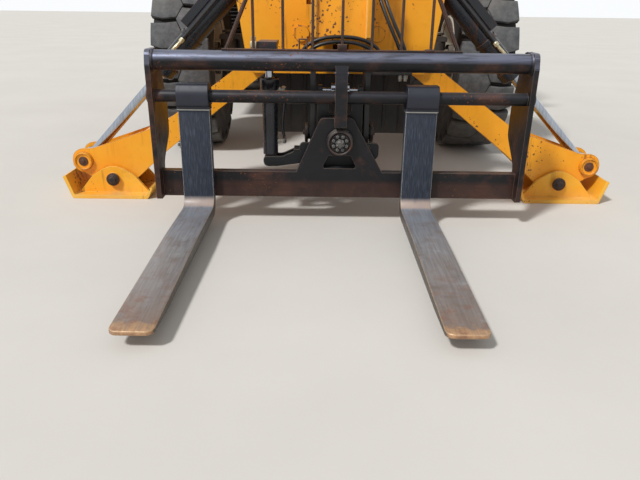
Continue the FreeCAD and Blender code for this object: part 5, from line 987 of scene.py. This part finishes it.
# Lift and tilt cylinders: screwed glands with key slots at their mouths, and steel oil pipes strapped along
# the barrels. The same black enamel as the other cylinders, over bright chrome rods.
LIFT_LUG = Vector((0, 1.1657, 1.4717))
TILT_EAR = pins["hitch_tilt"] + Vector((0, -0.050, 0.210))
for name, tip, mouth, radius, rod in (("lift", LIFT_LUG, 1.480, 0.075, 0.045),
                                      ("tilt", TILT_EAR, 0.580, 0.042, 0.026)):
    foot = pins[name + "_barrel_turn"]
    along = (tip - foot).normalized()
    above = Vector((1, 0, 0)).cross(along).normalized()
    gland, pipe = meshes(2)
    back, shell, off = -radius * 0.6, radius + 0.0055, radius + 0.013
    turning(gland, [(back, shell - 0.002), (back, shell + 0.004), (-0.006, shell + 0.004),
                    (0.002, shell - 0.002), (0.004, rod + 0.010), (0.008, rod + 0.006), (0.008, rod + 0.0012),
                    (back, shell - 0.002)], foot + along * mouth, along, 48)
    for share in (0.30, 0.70):
        turning(gland, [(-0.011, radius - 0.001), (-0.011, radius + 0.006), (0.011, radius + 0.006),
                        (0.011, radius - 0.001), (-0.011, radius - 0.001)], foot + along * mouth * share,
                along, 48)
    for out in (-0.020, 0.020):
        tube(pipe, [foot + along * a + above * b + Vector((out, 0, 0)) for a, b in (
            (0.10, radius - 0.004), (0.10, off), (0.16, off), (mouth * 0.5, off), (mouth - 0.16, off),
            (mouth - 0.10, off), (mouth - 0.10, radius - 0.004))], 0.008)
    piece(name + "_gland", gland, barrel_paint, name + "_barrel")
    piece(name + "_pipes", pipe, zinc, name + "_barrel", 60.0)


# Engine pod: a tray of folded sheet bolted to the chassis, with the diesel engine lengthways in it, under an
# orange bonnet that hinges along its inner top edge. Louvres in its side, a slatted grille at its front.
engine_metal = moulded("engine block grey", (92, 95, 98), 0.55, 0.45, 0.9, grain=60.0, light=1.3)
alloy = steel("cast alloy", (120, 121, 120), (150, 150, 147), 0.50, 0.20, metallic=0.55)
hot_steel = steel("exhaust steel", (104, 92, 82), (138, 124, 110), 0.46, 0.52, metallic=0.6)
dress(orange_paint, "engine_bonnet")
dress(black_paint, "engine_tray")
dress(engine_metal, "engine_block")
dress(hot_steel, "exhaust")
POD_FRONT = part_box("engine_tray")[0].y
POD_OUT = -1.215
ENGINE_X = (POD_OUT - 0.395) / 2
ENGINE_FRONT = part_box("engine_block")[0].y
HEAD_TOP = 1.340
GRILLE_LEFT, GRILLE_RIGHT, GRILLE_LOW, GRILLE_HIGH = ENGINE_X - 0.300, ENGINE_X + 0.300, 0.740, 1.320
GRIP_Y, GRIP_Z = 1.020, 1.105
grille, slats, latches, grips = meshes(4)
for x0, x1, z0, z1 in ((GRILLE_LEFT, GRILLE_RIGHT, GRILLE_LOW, GRILLE_LOW + 0.030),
                       (GRILLE_LEFT, GRILLE_RIGHT, GRILLE_HIGH - 0.030, GRILLE_HIGH),
                       (GRILLE_LEFT, GRILLE_LEFT + 0.030, GRILLE_LOW, GRILLE_HIGH),
                       (GRILLE_RIGHT - 0.030, GRILLE_RIGHT, GRILLE_LOW, GRILLE_HIGH),
                       (ENGINE_X - 0.012, ENGINE_X + 0.012, GRILLE_LOW, GRILLE_HIGH)):
    block(grille, (x0, POD_FRONT - 0.016, z0), (x1, POD_FRONT + 0.001, z1), 0.004)
for k in range(17):
    at = Matrix.Translation((ENGINE_X, POD_FRONT - 0.009, 0.782 + 0.031 * k))
    block(slats, (-0.282, -0.0025, -0.014), (0.282, 0.0025, 0.014), 0.001, at @ Matrix.Rotation(0.75, 4, "X"))
for x in (GRILLE_LEFT + 0.015, GRILLE_RIGHT - 0.015):
    for z in (GRILLE_LOW + 0.015, (GRILLE_LOW + GRILLE_HIGH) / 2, GRILLE_HIGH - 0.015):
        bolt(grille, (x, POD_FRONT - 0.016, z), (0, -1, 0), 0.008)
for y in (0.560, 1.480):
    block(latches, (POD_OUT - 0.012, y - 0.028, 0.985), (POD_OUT + 0.001, y + 0.028, 1.075), 0.004)
    block(latches, (POD_OUT - 0.024, y - 0.016, 0.955), (POD_OUT - 0.010, y + 0.016, 1.050), 0.006)
    bolt(latches, (POD_OUT - 0.012, y, 1.063), (-1, 0, 0), 0.008)
tube(grips, [(POD_OUT + x, GRIP_Y + y, GRIP_Z) for x, y in (
    (0.004, -0.110), (-0.030, -0.110), (-0.046, -0.095), (-0.046, 0.0), (-0.046, 0.095), (-0.030, 0.110),
    (0.004, 0.110))], 0.009)
for y in (GRIP_Y - 0.110, GRIP_Y + 0.110):
    turning(grips, [(0.0, 0.020), (0.005, 0.020), (0.007, 0.018)], (POD_OUT, y, GRIP_Z), (-1, 0, 0), 24)
piece("pod_grille_frame", grille, black_paint, "root")
piece("pod_grille_slats", slats, black_plastic, "root")
piece("bonnet_latches", latches, black_plastic, "engine_bonnet")
piece("bonnet_grip", grips, black_paint, "engine_bonnet", 60.0)

cover, drive, filters, exhausts, bands = meshes(5)
block(cover, (ENGINE_X - 0.150, 0.540, HEAD_TOP - 0.002), (ENGINE_X + 0.160, 1.150, HEAD_TOP + 0.050), 0.018)
for k in range(9):
    y = 0.585 + 0.062 * k
    block(cover, (ENGINE_X - 0.120, y, HEAD_TOP + 0.046), (ENGINE_X + 0.130, y + 0.012, HEAD_TOP + 0.058), 0.003)
for k in range(5):
    for x in (ENGINE_X - 0.160, ENGINE_X + 0.170):
        bolt(cover, (x, 0.560 + 0.143 * k, HEAD_TOP), (0, 0, 1), 0.009)
turning(cover, [(0.0, 0.030), (0.030, 0.032), (0.034, 0.028)], (ENGINE_X + 0.08, 0.62, HEAD_TOP + 0.048),
        (0, 0, 1), 10)
for x, z, radius in ((ENGINE_X, 0.800, 0.095), (ENGINE_X, 1.060, 0.075), (ENGINE_X - 0.190, 1.010, 0.040)):
    turning(drive, [(0.0, radius), (-0.012, radius), (-0.020, radius - 0.010), (-0.028, radius),
                    (-0.040, radius), (-0.042, radius - 0.008), (-0.034, radius * 0.55),
                    (-0.050, radius * 0.40)], (x, ENGINE_FRONT, z), (0, 1, 0), 40)
for k in range(6):
    turned = Matrix.Rotation(math.tau * k / 6, 4, "Y") @ Matrix.Rotation(0.6, 4, "Z")
    block(drive, (-0.030, -0.003, 0.055), (0.030, 0.003, 0.200), 0.002,
          Matrix.Translation((ENGINE_X, ENGINE_FRONT - 0.062, 1.060)) @ turned)
for y in (0.700, 0.830):
    turning(filters, [(-0.150, 0.036), (-0.142, 0.044), (-0.012, 0.044), (-0.010, 0.048), (0.0, 0.048)],
            (ENGINE_X - 0.326, y, 1.060), (0, 0, 1), 36)
turning(filters, [(0.0, 0.060), (0.010, 0.068), (0.200, 0.068), (0.204, 0.074), (0.216, 0.074),
                  (0.220, 0.068), (0.300, 0.068), (0.310, 0.050)], (-0.485, 0.640, 1.385), (0, 1, 0), 40)
tube(filters, [(-0.485, 0.640, 1.385), (-0.485, 0.560, 1.380), (-0.540, 0.500, 1.320),
               (-0.600, 0.500, 1.280), (-0.640, 0.540, 1.280)], 0.034)
PORT_X, PORT_Z = ENGINE_X + 0.225, 1.250
tube(exhausts, [(PORT_X - 0.045, 0.60, PORT_Z), (PORT_X, 0.66, PORT_Z), (PORT_X, 0.90, PORT_Z),
                (PORT_X, 1.20, PORT_Z), (-0.560, 1.40, 1.230), (-0.520, 1.58, 1.140),
                (-0.450, 1.635, 1.120), (-0.396, 1.635, 1.120)], 0.028)
for y in (0.76, 0.92, 1.08):
    tube(exhausts, [(PORT_X - 0.050, y, PORT_Z), (PORT_X - 0.025, y, PORT_Z), (PORT_X, y, PORT_Z)], 0.024)
STACK = Vector((-0.270, 1.635, 0.0))
for z in (1.262, 1.402, 1.580):
    turning(bands, [(0.0, 0.0555), (0.0, 0.0600), (0.022, 0.0600), (0.022, 0.0555), (0.0, 0.0555)],
            STACK + Vector((0, 0, z)), (0, 0, 1), 48)
    block(bands, STACK + Vector((0.054, -0.012, z + 0.003)), STACK + Vector((0.078, 0.012, z + 0.019)), 0.002)
    bolt(bands, STACK + Vector((0.067, 0.012, z + 0.011)), (0, 1, 0), 0.006)
turning(bands, [(0.0, 0.0305), (0.0, 0.036), (0.018, 0.036), (0.018, 0.0305), (0.0, 0.0305)],
        STACK + Vector((0, 0, 1.700)), (0, 0, 1), 32)
piece("engine_cover", cover, alloy, "root")
piece("engine_drive", drive, black_paint, "root")
piece("engine_filters", filters, black_plastic, "root", 50.0)
piece("exhaust_manifold", exhausts, hot_steel, "root", 60.0)
piece("exhaust_bands", bands, zinc, "root")


# Fuel tank: one moulded polyethylene shell held to the chassis by two steel straps, with a screw cap on its
# shoulder. Two steps are moulded in for the climb to the cab, with rows of raised steel studs.
dress(black_plastic, "fuel_tank")
TANK_TOP, TANK_SIDE = 0.870, 1.120
STEP_TREADS = (0.5705, 0.7905)
tank_low, tank_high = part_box("fuel_tank")
cap_mesh, straps, studs = meshes(3)
cap_at = Vector((0.960, tank_low.y + 0.110, TANK_TOP - 0.002))
turning(cap_mesh, [(0.0, 0.058), (0.014, 0.056), (0.016, 0.062), (0.044, 0.060), (0.050, 0.052), (0.052, 0.0)],
        cap_at, (0, 0, 1), 48)
for at in around(cap_at + Vector((0, 0, 0.018)), 0.061, 18, (1, 0, 0), (0, 1, 0)):
    turning(cap_mesh, [(0.0, 0.004), (0.024, 0.004), (0.026, 0.0)], at, (0, 0, 1), 8)
for y in (tank_low.y + 0.330, tank_high.y - 0.330):
    block(straps, (0.395, y - 0.020, TANK_TOP - 0.001), (TANK_SIDE - 0.060, y + 0.020, TANK_TOP + 0.005), 0.001)
    block(straps, (TANK_SIDE - 0.001, y - 0.020, tank_low.z + 0.085),
          (TANK_SIDE + 0.004, y + 0.020, TANK_TOP - 0.062), 0.001)
    tube(straps, [(TANK_SIDE - 0.062, y, TANK_TOP + 0.002), (TANK_SIDE - 0.012, y, TANK_TOP - 0.008),
                  (TANK_SIDE + 0.002, y, TANK_TOP - 0.064)], 0.004)
first, last = tank_low.y + 0.120, tank_high.y - 0.220
for z in STEP_TREADS:
    for row in range(5):
        for k in range(18):
            turning(studs, [(-0.001, 0.0055), (0.003, 0.0040)],
                    (1.128 + 0.019 * row, first + (last - first) * k / 17, z), (0, 0, 1), 8)
piece("tank_cap", cap_mesh, black_plastic, "root")
piece("tank_straps", straps, zinc, "root", 50.0)
piece("step_studs", studs, zinc, "root", 20.0)


# Cab: a welded box of rolled steel with safety glass set in rubber all round, a bar grid over the roof
# window and a door hinged at its rear post. The wiper parks at the foot of the windscreen.
window_glass, tree, place = material("window glass", {"Transmission Weight": 0.97, "IOR": 1.45})
smear = cloud(tree, place, 3.0, 7.0)
finish(tree, tint(tree, spread(tree, smear, 0.4, 0.8), shade(228, 240, 235), shade(212, 224, 219)),
       spread(tree, smear, 0.5, 0.8, 0.0, 0.03))
cab_plastic = moulded("cab plastic", (46, 48, 51), 0.58, 0.10, 0.3)
mirror_glass = steel("mirror glass", (196, 202, 206), (206, 212, 216), 0.06, 0.0, metallic=1.0)
dress(orange_paint, "cab_shell")
dress(black_paint, "cab_door")
dress(window_glass, "cab_glass", "door_glass")
dress(cab_plastic, "mirrors")
SEAL_R = 0.0075
MIRROR_W, MIRROR_H = 0.170, 0.280
MIRRORS = [Vector((1.405, 0.320, 1.800)), Vector((-1.235, 0.241, 1.810))]
PANE_FOOT = Vector((0.735, 0.2775, 1.500))
PANE_HEAD = Vector((0.735, 0.4925, 2.4125))
climb = (PANE_HEAD - PANE_FOOT).normalized()
outward = Vector((0, -climb.z, climb.y))


def seals(name, node, body):
    """A rubber bead along both rims of every pane of a glass node."""
    panes, beads = meshes(2)
    panes.from_mesh(nodes[node].data)
    bmesh.ops.remove_doubles(panes, verts=panes.verts, dist=0.0001)
    left = {edge for edge in panes.edges
            if len(edge.link_faces) == 2 and edge.calc_face_angle() > math.radians(60)}
    while left:
        start, here = left.pop().verts
        route = [start.co.copy()]
        while here is not start:
            route.append(here.co.copy())
            step = next(edge for edge in here.link_edges if edge in left)
            left.discard(step)
            here = step.other_vert(here)
        tube(beads, route, SEAL_R, closed=True)
    panes.free()
    piece(name, beads, hose_rubber, body, 60.0)


def on_pane(across, up, out):
    """A place on the sloped windscreen: across from its middle, up from its foot, out from the glass."""
    return PANE_FOOT + Vector((across, 0, 0)) + climb * up + outward * out


seals("cab_seals", "cab_glass", "root")
seals("door_seals", "door_glass", "cab_door")
wiper, rubber, glasses, frames, lock = meshes(5)
pivot = Vector((0.735, 0.2775, 1.330))
turning(wiper, [(0.0, 0.024), (0.012, 0.022), (0.030, 0.014), (0.034, 0.0)], pivot, (0, -1, 0), 28)
elbow = pivot + Vector((0, -0.024, 0))
tube(wiper, [elbow, elbow + Vector((0.060, -0.004, 0.070)), on_pane(0.130, 0.0, 0.034),
             on_pane(0.200, 0.130, 0.026), on_pane(0.222, 0.300, 0.020)], 0.006)
for mesh, radius, out in ((wiper, 0.0045, 0.017), (rubber, 0.0035, 0.008)):
    tube(mesh, [on_pane(across, up, out) for across, up in (
        (0.140, 0.075), (0.180, 0.190), (0.222, 0.310), (0.264, 0.430), (0.304, 0.545))], radius)
for at in MIRRORS:
    for mesh, edge, back, front, soft in ((frames, 0.004, -0.002, 0.004, 0.003),
                                          (glasses, 0.014, 0.001, 0.006, 0.0015)):
        x, z = MIRROR_W / 2 - edge, MIRROR_H / 2 - edge
        block(mesh, at + Vector((-x, back, -z)), at + Vector((x, front, z)), soft)
turning(lock, [(0.0, 0.017), (0.006, 0.017), (0.008, 0.014)], (1.212, 0.415, 1.215), (1, 0, 0), 28)
block(lock, (1.219, 0.4135, 1.206), (1.2215, 0.4165, 1.224))
piece("wiper_arm", wiper, black_paint, "root", 60.0)
piece("wiper_blade", rubber, hose_rubber, "root", 60.0)
piece("mirror_frames", frames, cab_plastic, "root")
piece("mirror_glasses", glasses, mirror_glass, "root")
piece("door_lock", lock, zinc, "cab_door")


# Seat: foam cushions in black vinyl, sewn in three panels with piping between them, on a sprung base under
# a rubber bellows. A lever sets its slide and a knob the back's slope.
vinyl, tree, place = material("seat vinyl")
cells = put(tree, "ShaderNodeTexVoronoi", {"Vector": place, "Scale": 420.0}).outputs["Distance"]
broad = cloud(tree, place, 7.0, 6.0)
skin = tint(tree, spread(tree, broad, 0.35, 0.7), shade(34, 34, 37), shade(50, 50, 53))
skin = tint(tree, spread(tree, cells, 0.5, 0.1, 0.0, 0.35), skin, shade(20, 20, 22))
skin = tint(tree, use(tree, dusting, Height=0.2, Amount=0.10)["Mask"], skin, DUST)
finish(tree, skin, spread(tree, broad, 0.3, 0.7, 0.40, 0.54), relief=maths(tree, "ADD", cells, broad),
       depth=0.0006, strength=0.6)
seat_low, seat_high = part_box("seat")
SEAT_X = (seat_low.x + seat_high.x) / 2
SEAT_Y = seat_low.y
SEAT_PAN = 1.283
VOXEL = 0.006
SWELL = 0.022
PANEL_SEAM = 0.135
BACK_SEAM = 0.125
LEAN_BACK = math.radians(7.0)
back_place = Matrix.Translation((SEAT_X, SEAT_Y + 0.455, 1.330)) @ Matrix.Rotation(-LEAN_BACK, 4, "X")
unplace = back_place.inverted()


def stuffed(name, mesh, sewn):
    """A cushion blown up from its cut shape by a cloth simulation, held where a test says it is sewn."""
    bmesh.ops.recalc_face_normals(mesh, faces=mesh.faces)
    data = bpy.data.meshes.new(name)
    mesh.to_mesh(data)
    mesh.free()
    made = bpy.data.objects.new(name, data)
    bpy.context.scene.collection.objects.link(made)
    shell = made.modifiers.new("shell", "REMESH")
    shell.mode = "VOXEL"
    shell.voxel_size = VOXEL
    ready = bpy.data.meshes.new_from_object(made.evaluated_get(bpy.context.evaluated_depsgraph_get()))
    made.modifiers.remove(shell)
    made.data = ready
    before = [vert.co.copy() for vert in ready.vertices]
    held = made.vertex_groups.new(name="sewn")
    held.add([k for k, point in enumerate(before) if sewn(point)], 1.0, "REPLACE")
    cloth = made.modifiers.new("cloth", "CLOTH")
    cloth.settings.vertex_group_mass = "sewn"
    cloth.settings.use_pressure = True
    cloth.settings.uniform_pressure_force = 4.0
    cloth.settings.effector_weights.gravity = 0.0
    cloth.settings.quality = 4
    cloth.point_cache.frame_start = 1
    cloth.point_cache.frame_end = 20
    for moment in range(1, 21):
        bpy.context.scene.frame_set(moment)
    blown = made.evaluated_get(bpy.context.evaluated_depsgraph_get()).to_mesh()
    after = [vert.co.copy() for vert in blown.vertices]
    made.modifiers.remove(cloth)
    for vert, start, end in zip(ready.vertices, before, after):
        moved = end - start
        vert.co = start + moved * min(1.0, SWELL / max(moved.length, 0.000001))
    bpy.context.scene.frame_set(1)
    finer = bmesh.new()
    finer.from_mesh(ready)
    bmesh.ops.subdivide_edges(finer, edges=finer.edges, cuts=1, use_grid_fill=True, smooth=0.6)
    bmesh.ops.smooth_vert(finer, verts=finer.verts, factor=0.5, use_axis_x=True, use_axis_y=True, use_axis_z=True)
    bpy.data.objects.remove(made)
    made = piece(name, finer, vinyl, "root", 60.0)
    return made


def sewn_cushion(point):
    """Seams of the seat's cushion: two lengthways and one across, and all that its pan holds."""
    x, y = abs(point.x - SEAT_X), point.y - SEAT_Y - 0.235
    seam = abs(x - PANEL_SEAM) < 0.005 or (abs(y) < 0.005 and x < PANEL_SEAM)
    return (seam and point.z > 1.31) or point.z < SEAT_PAN


def sewn_back(point):
    """Seams of the seat's back: two upright, two across, and all that its shell holds."""
    p = unplace @ point
    upright = abs(abs(p.x) - BACK_SEAM) < 0.005 and p.z < 0.52
    across = min(abs(p.z - 0.200), abs(p.z - 0.370), abs(p.z - 0.520)) < 0.005 and abs(p.x) < BACK_SEAM
    return ((upright or across) and p.y < 0.0) or p.y > 0.026


cushion, back, shell, bellows, levers, piping = meshes(6)
block(cushion, (SEAT_X - 0.205, SEAT_Y + 0.026, 1.282), (SEAT_X + 0.205, SEAT_Y + 0.440, 1.338), 0.024)
block(back, (-0.185, -0.030, 0.040), (0.185, 0.036, 0.600), 0.028)
for side in (1, -1):
    x = SEAT_X + side * 0.176
    block(cushion, (x - 0.036, SEAT_Y + 0.028, 1.278), (x + 0.036, SEAT_Y + 0.440, 1.356), 0.024)
    block(back, (side * 0.160 - 0.034, -0.052, 0.050), (side * 0.160 + 0.034, 0.030, 0.520), 0.026)
bmesh.ops.transform(back, matrix=back_place, verts=back.verts)
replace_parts(stuffed("seat_cushion", cushion, sewn_cushion), "seat")
stuffed("seat_back", back, sewn_back)
block(shell, (SEAT_X - 0.195, SEAT_Y + 0.020, 1.262), (SEAT_X + 0.195, SEAT_Y + 0.465, 1.286), 0.008)
block(shell, (-0.180, 0.028, 0.040), (0.180, 0.052, 0.590), 0.010, back_place)
for x in (0.188, -0.188):
    block(shell, (x - 0.010, -0.015, -0.045), (x + 0.010, 0.045, 0.140), 0.006, back_place)
for k in range(6):
    inset, z = 0.012 * (k % 2), 1.070 + 0.032 * k
    block(bellows, (SEAT_X - 0.165 + inset, SEAT_Y + 0.075 + inset, z),
          (SEAT_X + 0.165 - inset, SEAT_Y + 0.425 - inset, z + 0.036), 0.012)
block(bellows, (SEAT_X - 0.170, SEAT_Y + 0.050, 1.021), (SEAT_X + 0.170, SEAT_Y + 0.440, 1.072), 0.006)
tube(levers, [(SEAT_X + x, SEAT_Y + y, z) for x, y, z in (
    (-0.10, 0.10, 1.250), (-0.10, 0.03, 1.250), (0.0, 0.012, 1.246), (0.10, 0.03, 1.250),
    (0.10, 0.10, 1.250))], 0.006)
turning(levers, [(0.0, 0.026), (0.014, 0.026), (0.018, 0.020)], (SEAT_X + 0.198, SEAT_Y + 0.455, 1.350),
        (1, 0, 0), 20)
for side in (1, -1):
    tube(piping, [(SEAT_X + side * PANEL_SEAM, SEAT_Y + y, z) for y, z in (
        (0.030, 1.315), (0.034, 1.334), (0.056, 1.341), (0.150, 1.341), (0.300, 1.341), (0.420, 1.341))], 0.0035)
    tube(piping, [back_place @ Vector((side * BACK_SEAM, y, z)) for y, z in (
        (-0.022, 0.055), (-0.032, 0.085), (-0.033, 0.200), (-0.033, 0.350), (-0.033, 0.500),
        (-0.033, 0.520))], 0.0035)
piece("seat_shell", shell, cab_plastic, "root")
piece("seat_bellows", bellows, hose_rubber, "root")
piece("seat_levers", levers, black_plastic, "root", 60.0)
piece("seat_piping", piping, hose_rubber, "root", 60.0)


# Dash and controls: a moulded console with round dials and rocker switches, the steering wheel on its
# sloped column, and a joystick with a rubber boot on a side console by the seat.
dial_face, tree, place = material("dial faces")
rings = cloud(tree, place, 60.0)
finish(tree, tint(tree, rings, shade(22, 22, 24), shade(34, 34, 36)), spread(tree, rings, 0.3, 0.7, 0.18, 0.30))
dress(cab_plastic, "dash")
DASH_FRONT = Vector((0.0, 0.370, 1.4565))
DASH_REAR = Vector((0.0, 0.480, 1.4055))
WHEEL_RADIUS, RIM_RADIUS = 0.185, 0.015
STICK = Vector((1.065, SEAT_Y + 0.110, 1.379))
across = Vector((1, 0, 0))
down_slope = (DASH_REAR - DASH_FRONT).normalized()
dash_up = Vector((0, -down_slope.z, down_slope.y))
dash_middle = DASH_FRONT + down_slope * 0.058
bezels, faces, switches = meshes(3)
for x, radius in ((0.660, 0.030), (0.745, 0.040), (0.830, 0.030)):
    at = dash_middle + across * x + dash_up * 0.001
    turning(bezels, [(0.0, radius + 0.006), (0.010, radius + 0.005), (0.013, radius), (0.010, radius - 0.002),
                     (0.0, radius - 0.002), (0.0, radius + 0.006)], at, dash_up, 36)
    turning(faces, [(0.002, radius), (0.005, radius)], at, dash_up, 36)
    for k in range(7):
        angle = math.radians(150 - 40 * k)
        outwards = across * math.cos(angle) - down_slope * math.sin(angle)
        turning(bezels, [(0.0, 0.0016), (0.001, 0.0016)], at + dash_up * 0.0055 + outwards * (radius - 0.006),
                dash_up, 6)
    tube(bezels, [at + dash_up * 0.008 + (across * 0.5 - down_slope * 0.8) * (radius * share)
                  for share in (0.0, 0.45, 0.85)], 0.0014)
for k in range(6):
    for x in (0.400, 0.930):
        block(switches, (-0.012, -0.021, -0.002), (0.012, 0.021, 0.008), 0.003,
              Matrix.Translation(dash_middle + across * (x + 0.032 * k)) @ Matrix.Rotation(-0.43, 4, "X"))
piece("dash_bezels", bezels, alloy, "root", 40.0)
piece("dash_dials", faces, dial_face, "root")
piece("dash_switches", switches, black_plastic, "root")


def ring_outline(radius, thick, steps):
    """The round section of a ring, for turning."""
    turns = [math.tau * k / steps for k in range(steps + 1)]
    return [(thick * math.sin(turn), radius + thick * math.cos(turn)) for turn in turns]


column = pins["steering_wheel_turn"]
slope = Vector((0, 0.55, 0.835)).normalized()
wheel, hub, console, boot, stick = meshes(5)
rim_at = column + slope * 0.040
turning(wheel, ring_outline(WHEEL_RADIUS, RIM_RADIUS, 16), rim_at, slope, 72)
for spoke in around((0, 0, 0), 1.0, 3, across, slope.cross(across), math.pi / 2):
    tube(wheel, [rim_at + spoke * out + slope * up for out, up in (
        (0.025, -0.006), (0.060, -0.006), (0.110, -0.004), (0.150, -0.001), (0.180, 0.0))], 0.0095)
turning(hub, [(0.001, 0.034), (0.014, 0.041), (0.044, 0.042), (0.051, 0.036), (0.052, 0.024), (0.050, 0.0)],
        column, slope, 40)
block(console, (1.010, SEAT_Y + 0.020, 1.021), (1.120, SEAT_Y + 0.440, 1.380), 0.022)
turning(boot, [(0.0, 0.040), (0.008, 0.040), (0.014, 0.030), (0.020, 0.034), (0.026, 0.024), (0.032, 0.028),
               (0.040, 0.017), (0.060, 0.010)], STICK, (0, 0, 1), 32)
turning(stick, [(0.040, 0.008), (0.100, 0.008), (0.104, 0.015), (0.130, 0.019), (0.170, 0.017),
                (0.200, 0.021), (0.215, 0.018), (0.222, 0.0)], STICK, (0, -0.08, 1), 28)
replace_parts(piece("steering_wheel_ring", wheel, cab_plastic, "steering_wheel", 60.0),
            "steering_wheel")
piece("steering_wheel_hub", hub, black_plastic, "steering_wheel")
piece("side_console", console, cab_plastic, "root")
piece("joystick_boot", boot, hose_rubber, "root")
piece("joystick", stick, black_plastic, "root")


# Lamps: moulded housings round fluted lenses, clear on the work and road lamps and red at the tail.
# Each stands on its bracket and is held by one bolt.
lenses = {}
for name, colour, light in (("clear", (206, 208, 206), (236, 238, 236)), ("red", (150, 18, 14), (196, 34, 24))):
    lenses[name], tree, place = material("lamp lens " + name, {"Transmission Weight": 0.25})
    flutes = put(tree, "ShaderNodeTexWave", {"Vector": place, "Scale": 42.0, "Distortion": 0.0}).outputs["Fac"]
    finish(tree, tint(tree, flutes, shade(*colour), shade(*light)),
           spread(tree, cloud(tree, place, 30.0), 0.3, 0.7, 0.10, 0.20), relief=flutes, depth=0.002)
housings, clear, red = meshes(3)
LAMPS = [(0.360, 0.060, 0.585, 0.655, 2.510, 2.600, -1), (1.110, 0.060, 0.585, 0.655, 2.510, 2.600, -1),
         (-0.600, 0.075, -1.395, -1.335, 1.1253, 1.250, -1), (0.600, 0.075, -1.395, -1.335, 1.1253, 1.250, -1),
         (-0.760, 0.070, 3.755, 3.777, 0.900, 0.980, 1), (0.760, 0.070, 3.755, 3.777, 0.900, 0.980, 1)]
for x, half, near_y, far_y, low, high, facing in LAMPS:
    housing = bmesh.new()
    block(housing, (x - half, near_y, low), (x + half, far_y, high), 0.006)
    for least, thickness, depth in ((0.0, 0.006, 0.0), (0.003, 0.002, -0.005)):
        mouth = [face for face in housing.faces if face.normal.y * facing > 0.99 and face.calc_area() > least]
        bmesh.ops.inset_region(housing, faces=mouth, thickness=thickness, depth=depth)
    join(housings, housing)
    y0, y1 = (near_y + 0.0005, near_y + 0.0055) if facing < 0 else (far_y - 0.0055, far_y - 0.0005)
    block(clear if facing < 0 else red, (x - half + 0.013, y0, low + 0.013), (x + half - 0.013, y1, high - 0.013),
          0.002)
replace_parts(piece("lamp_housings", housings, black_plastic, "root", 30.0), "lamps")
piece("lamp_lenses_clear", clear, lenses["clear"], "root")
piece("lamp_lenses_red", red, lenses["red"], "root")


# Tail: one iron casting bolted across the chassis to balance the load, with two eyes to lift it by. A
# towing jaw stands out of its pocket and is closed by a drop pin on a handle.
dress(cast_paint, "counterweight")
dress(black_paint, "tow_hitch")
weight_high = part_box("counterweight")[1]
eyes, heads, drop_pin = meshes(3)
for x in (-0.620, 0.620):
    at = Vector((x, 3.560, weight_high.z))
    turning(eyes, [(-0.002, 0.034), (0.008, 0.034), (0.012, 0.022), (0.018, 0.016)], at, (0, 0, 1), 32)
    turning(eyes, ring_outline(0.026, 0.009, 12), at + Vector((0, 0, 0.044)), (0, 1, 0), 40)
for x in (-0.480, 0.480):
    for z in (0.820, 1.020):
        bolt(heads, (x, weight_high.y, z), (0, 1, 0), 0.024, 0.016)
pin_at = Vector((0, 3.785, 0.0))
turning(drop_pin, [(0.588, 0.0), (0.592, 0.010), (0.600, 0.0148), (0.7225, 0.0148), (0.7225, 0.026),
                   (0.732, 0.026), (0.736, 0.020), (0.744, 0.012), (0.748, 0.0)], pin_at, (0, 0, 1), 32)
tube(drop_pin, [pin_at + Vector((x, 0, z)) for x, z in (
    (-0.020, 0.730), (-0.034, 0.752), (-0.030, 0.776), (0.0, 0.790), (0.030, 0.776), (0.034, 0.752),
    (0.020, 0.730))], 0.005)
piece("counterweight_eyes", eyes, black_paint, "root")
piece("counterweight_bolts", heads, zinc, "root")
piece("tow_pin", drop_pin, zinc, "root", 50.0)
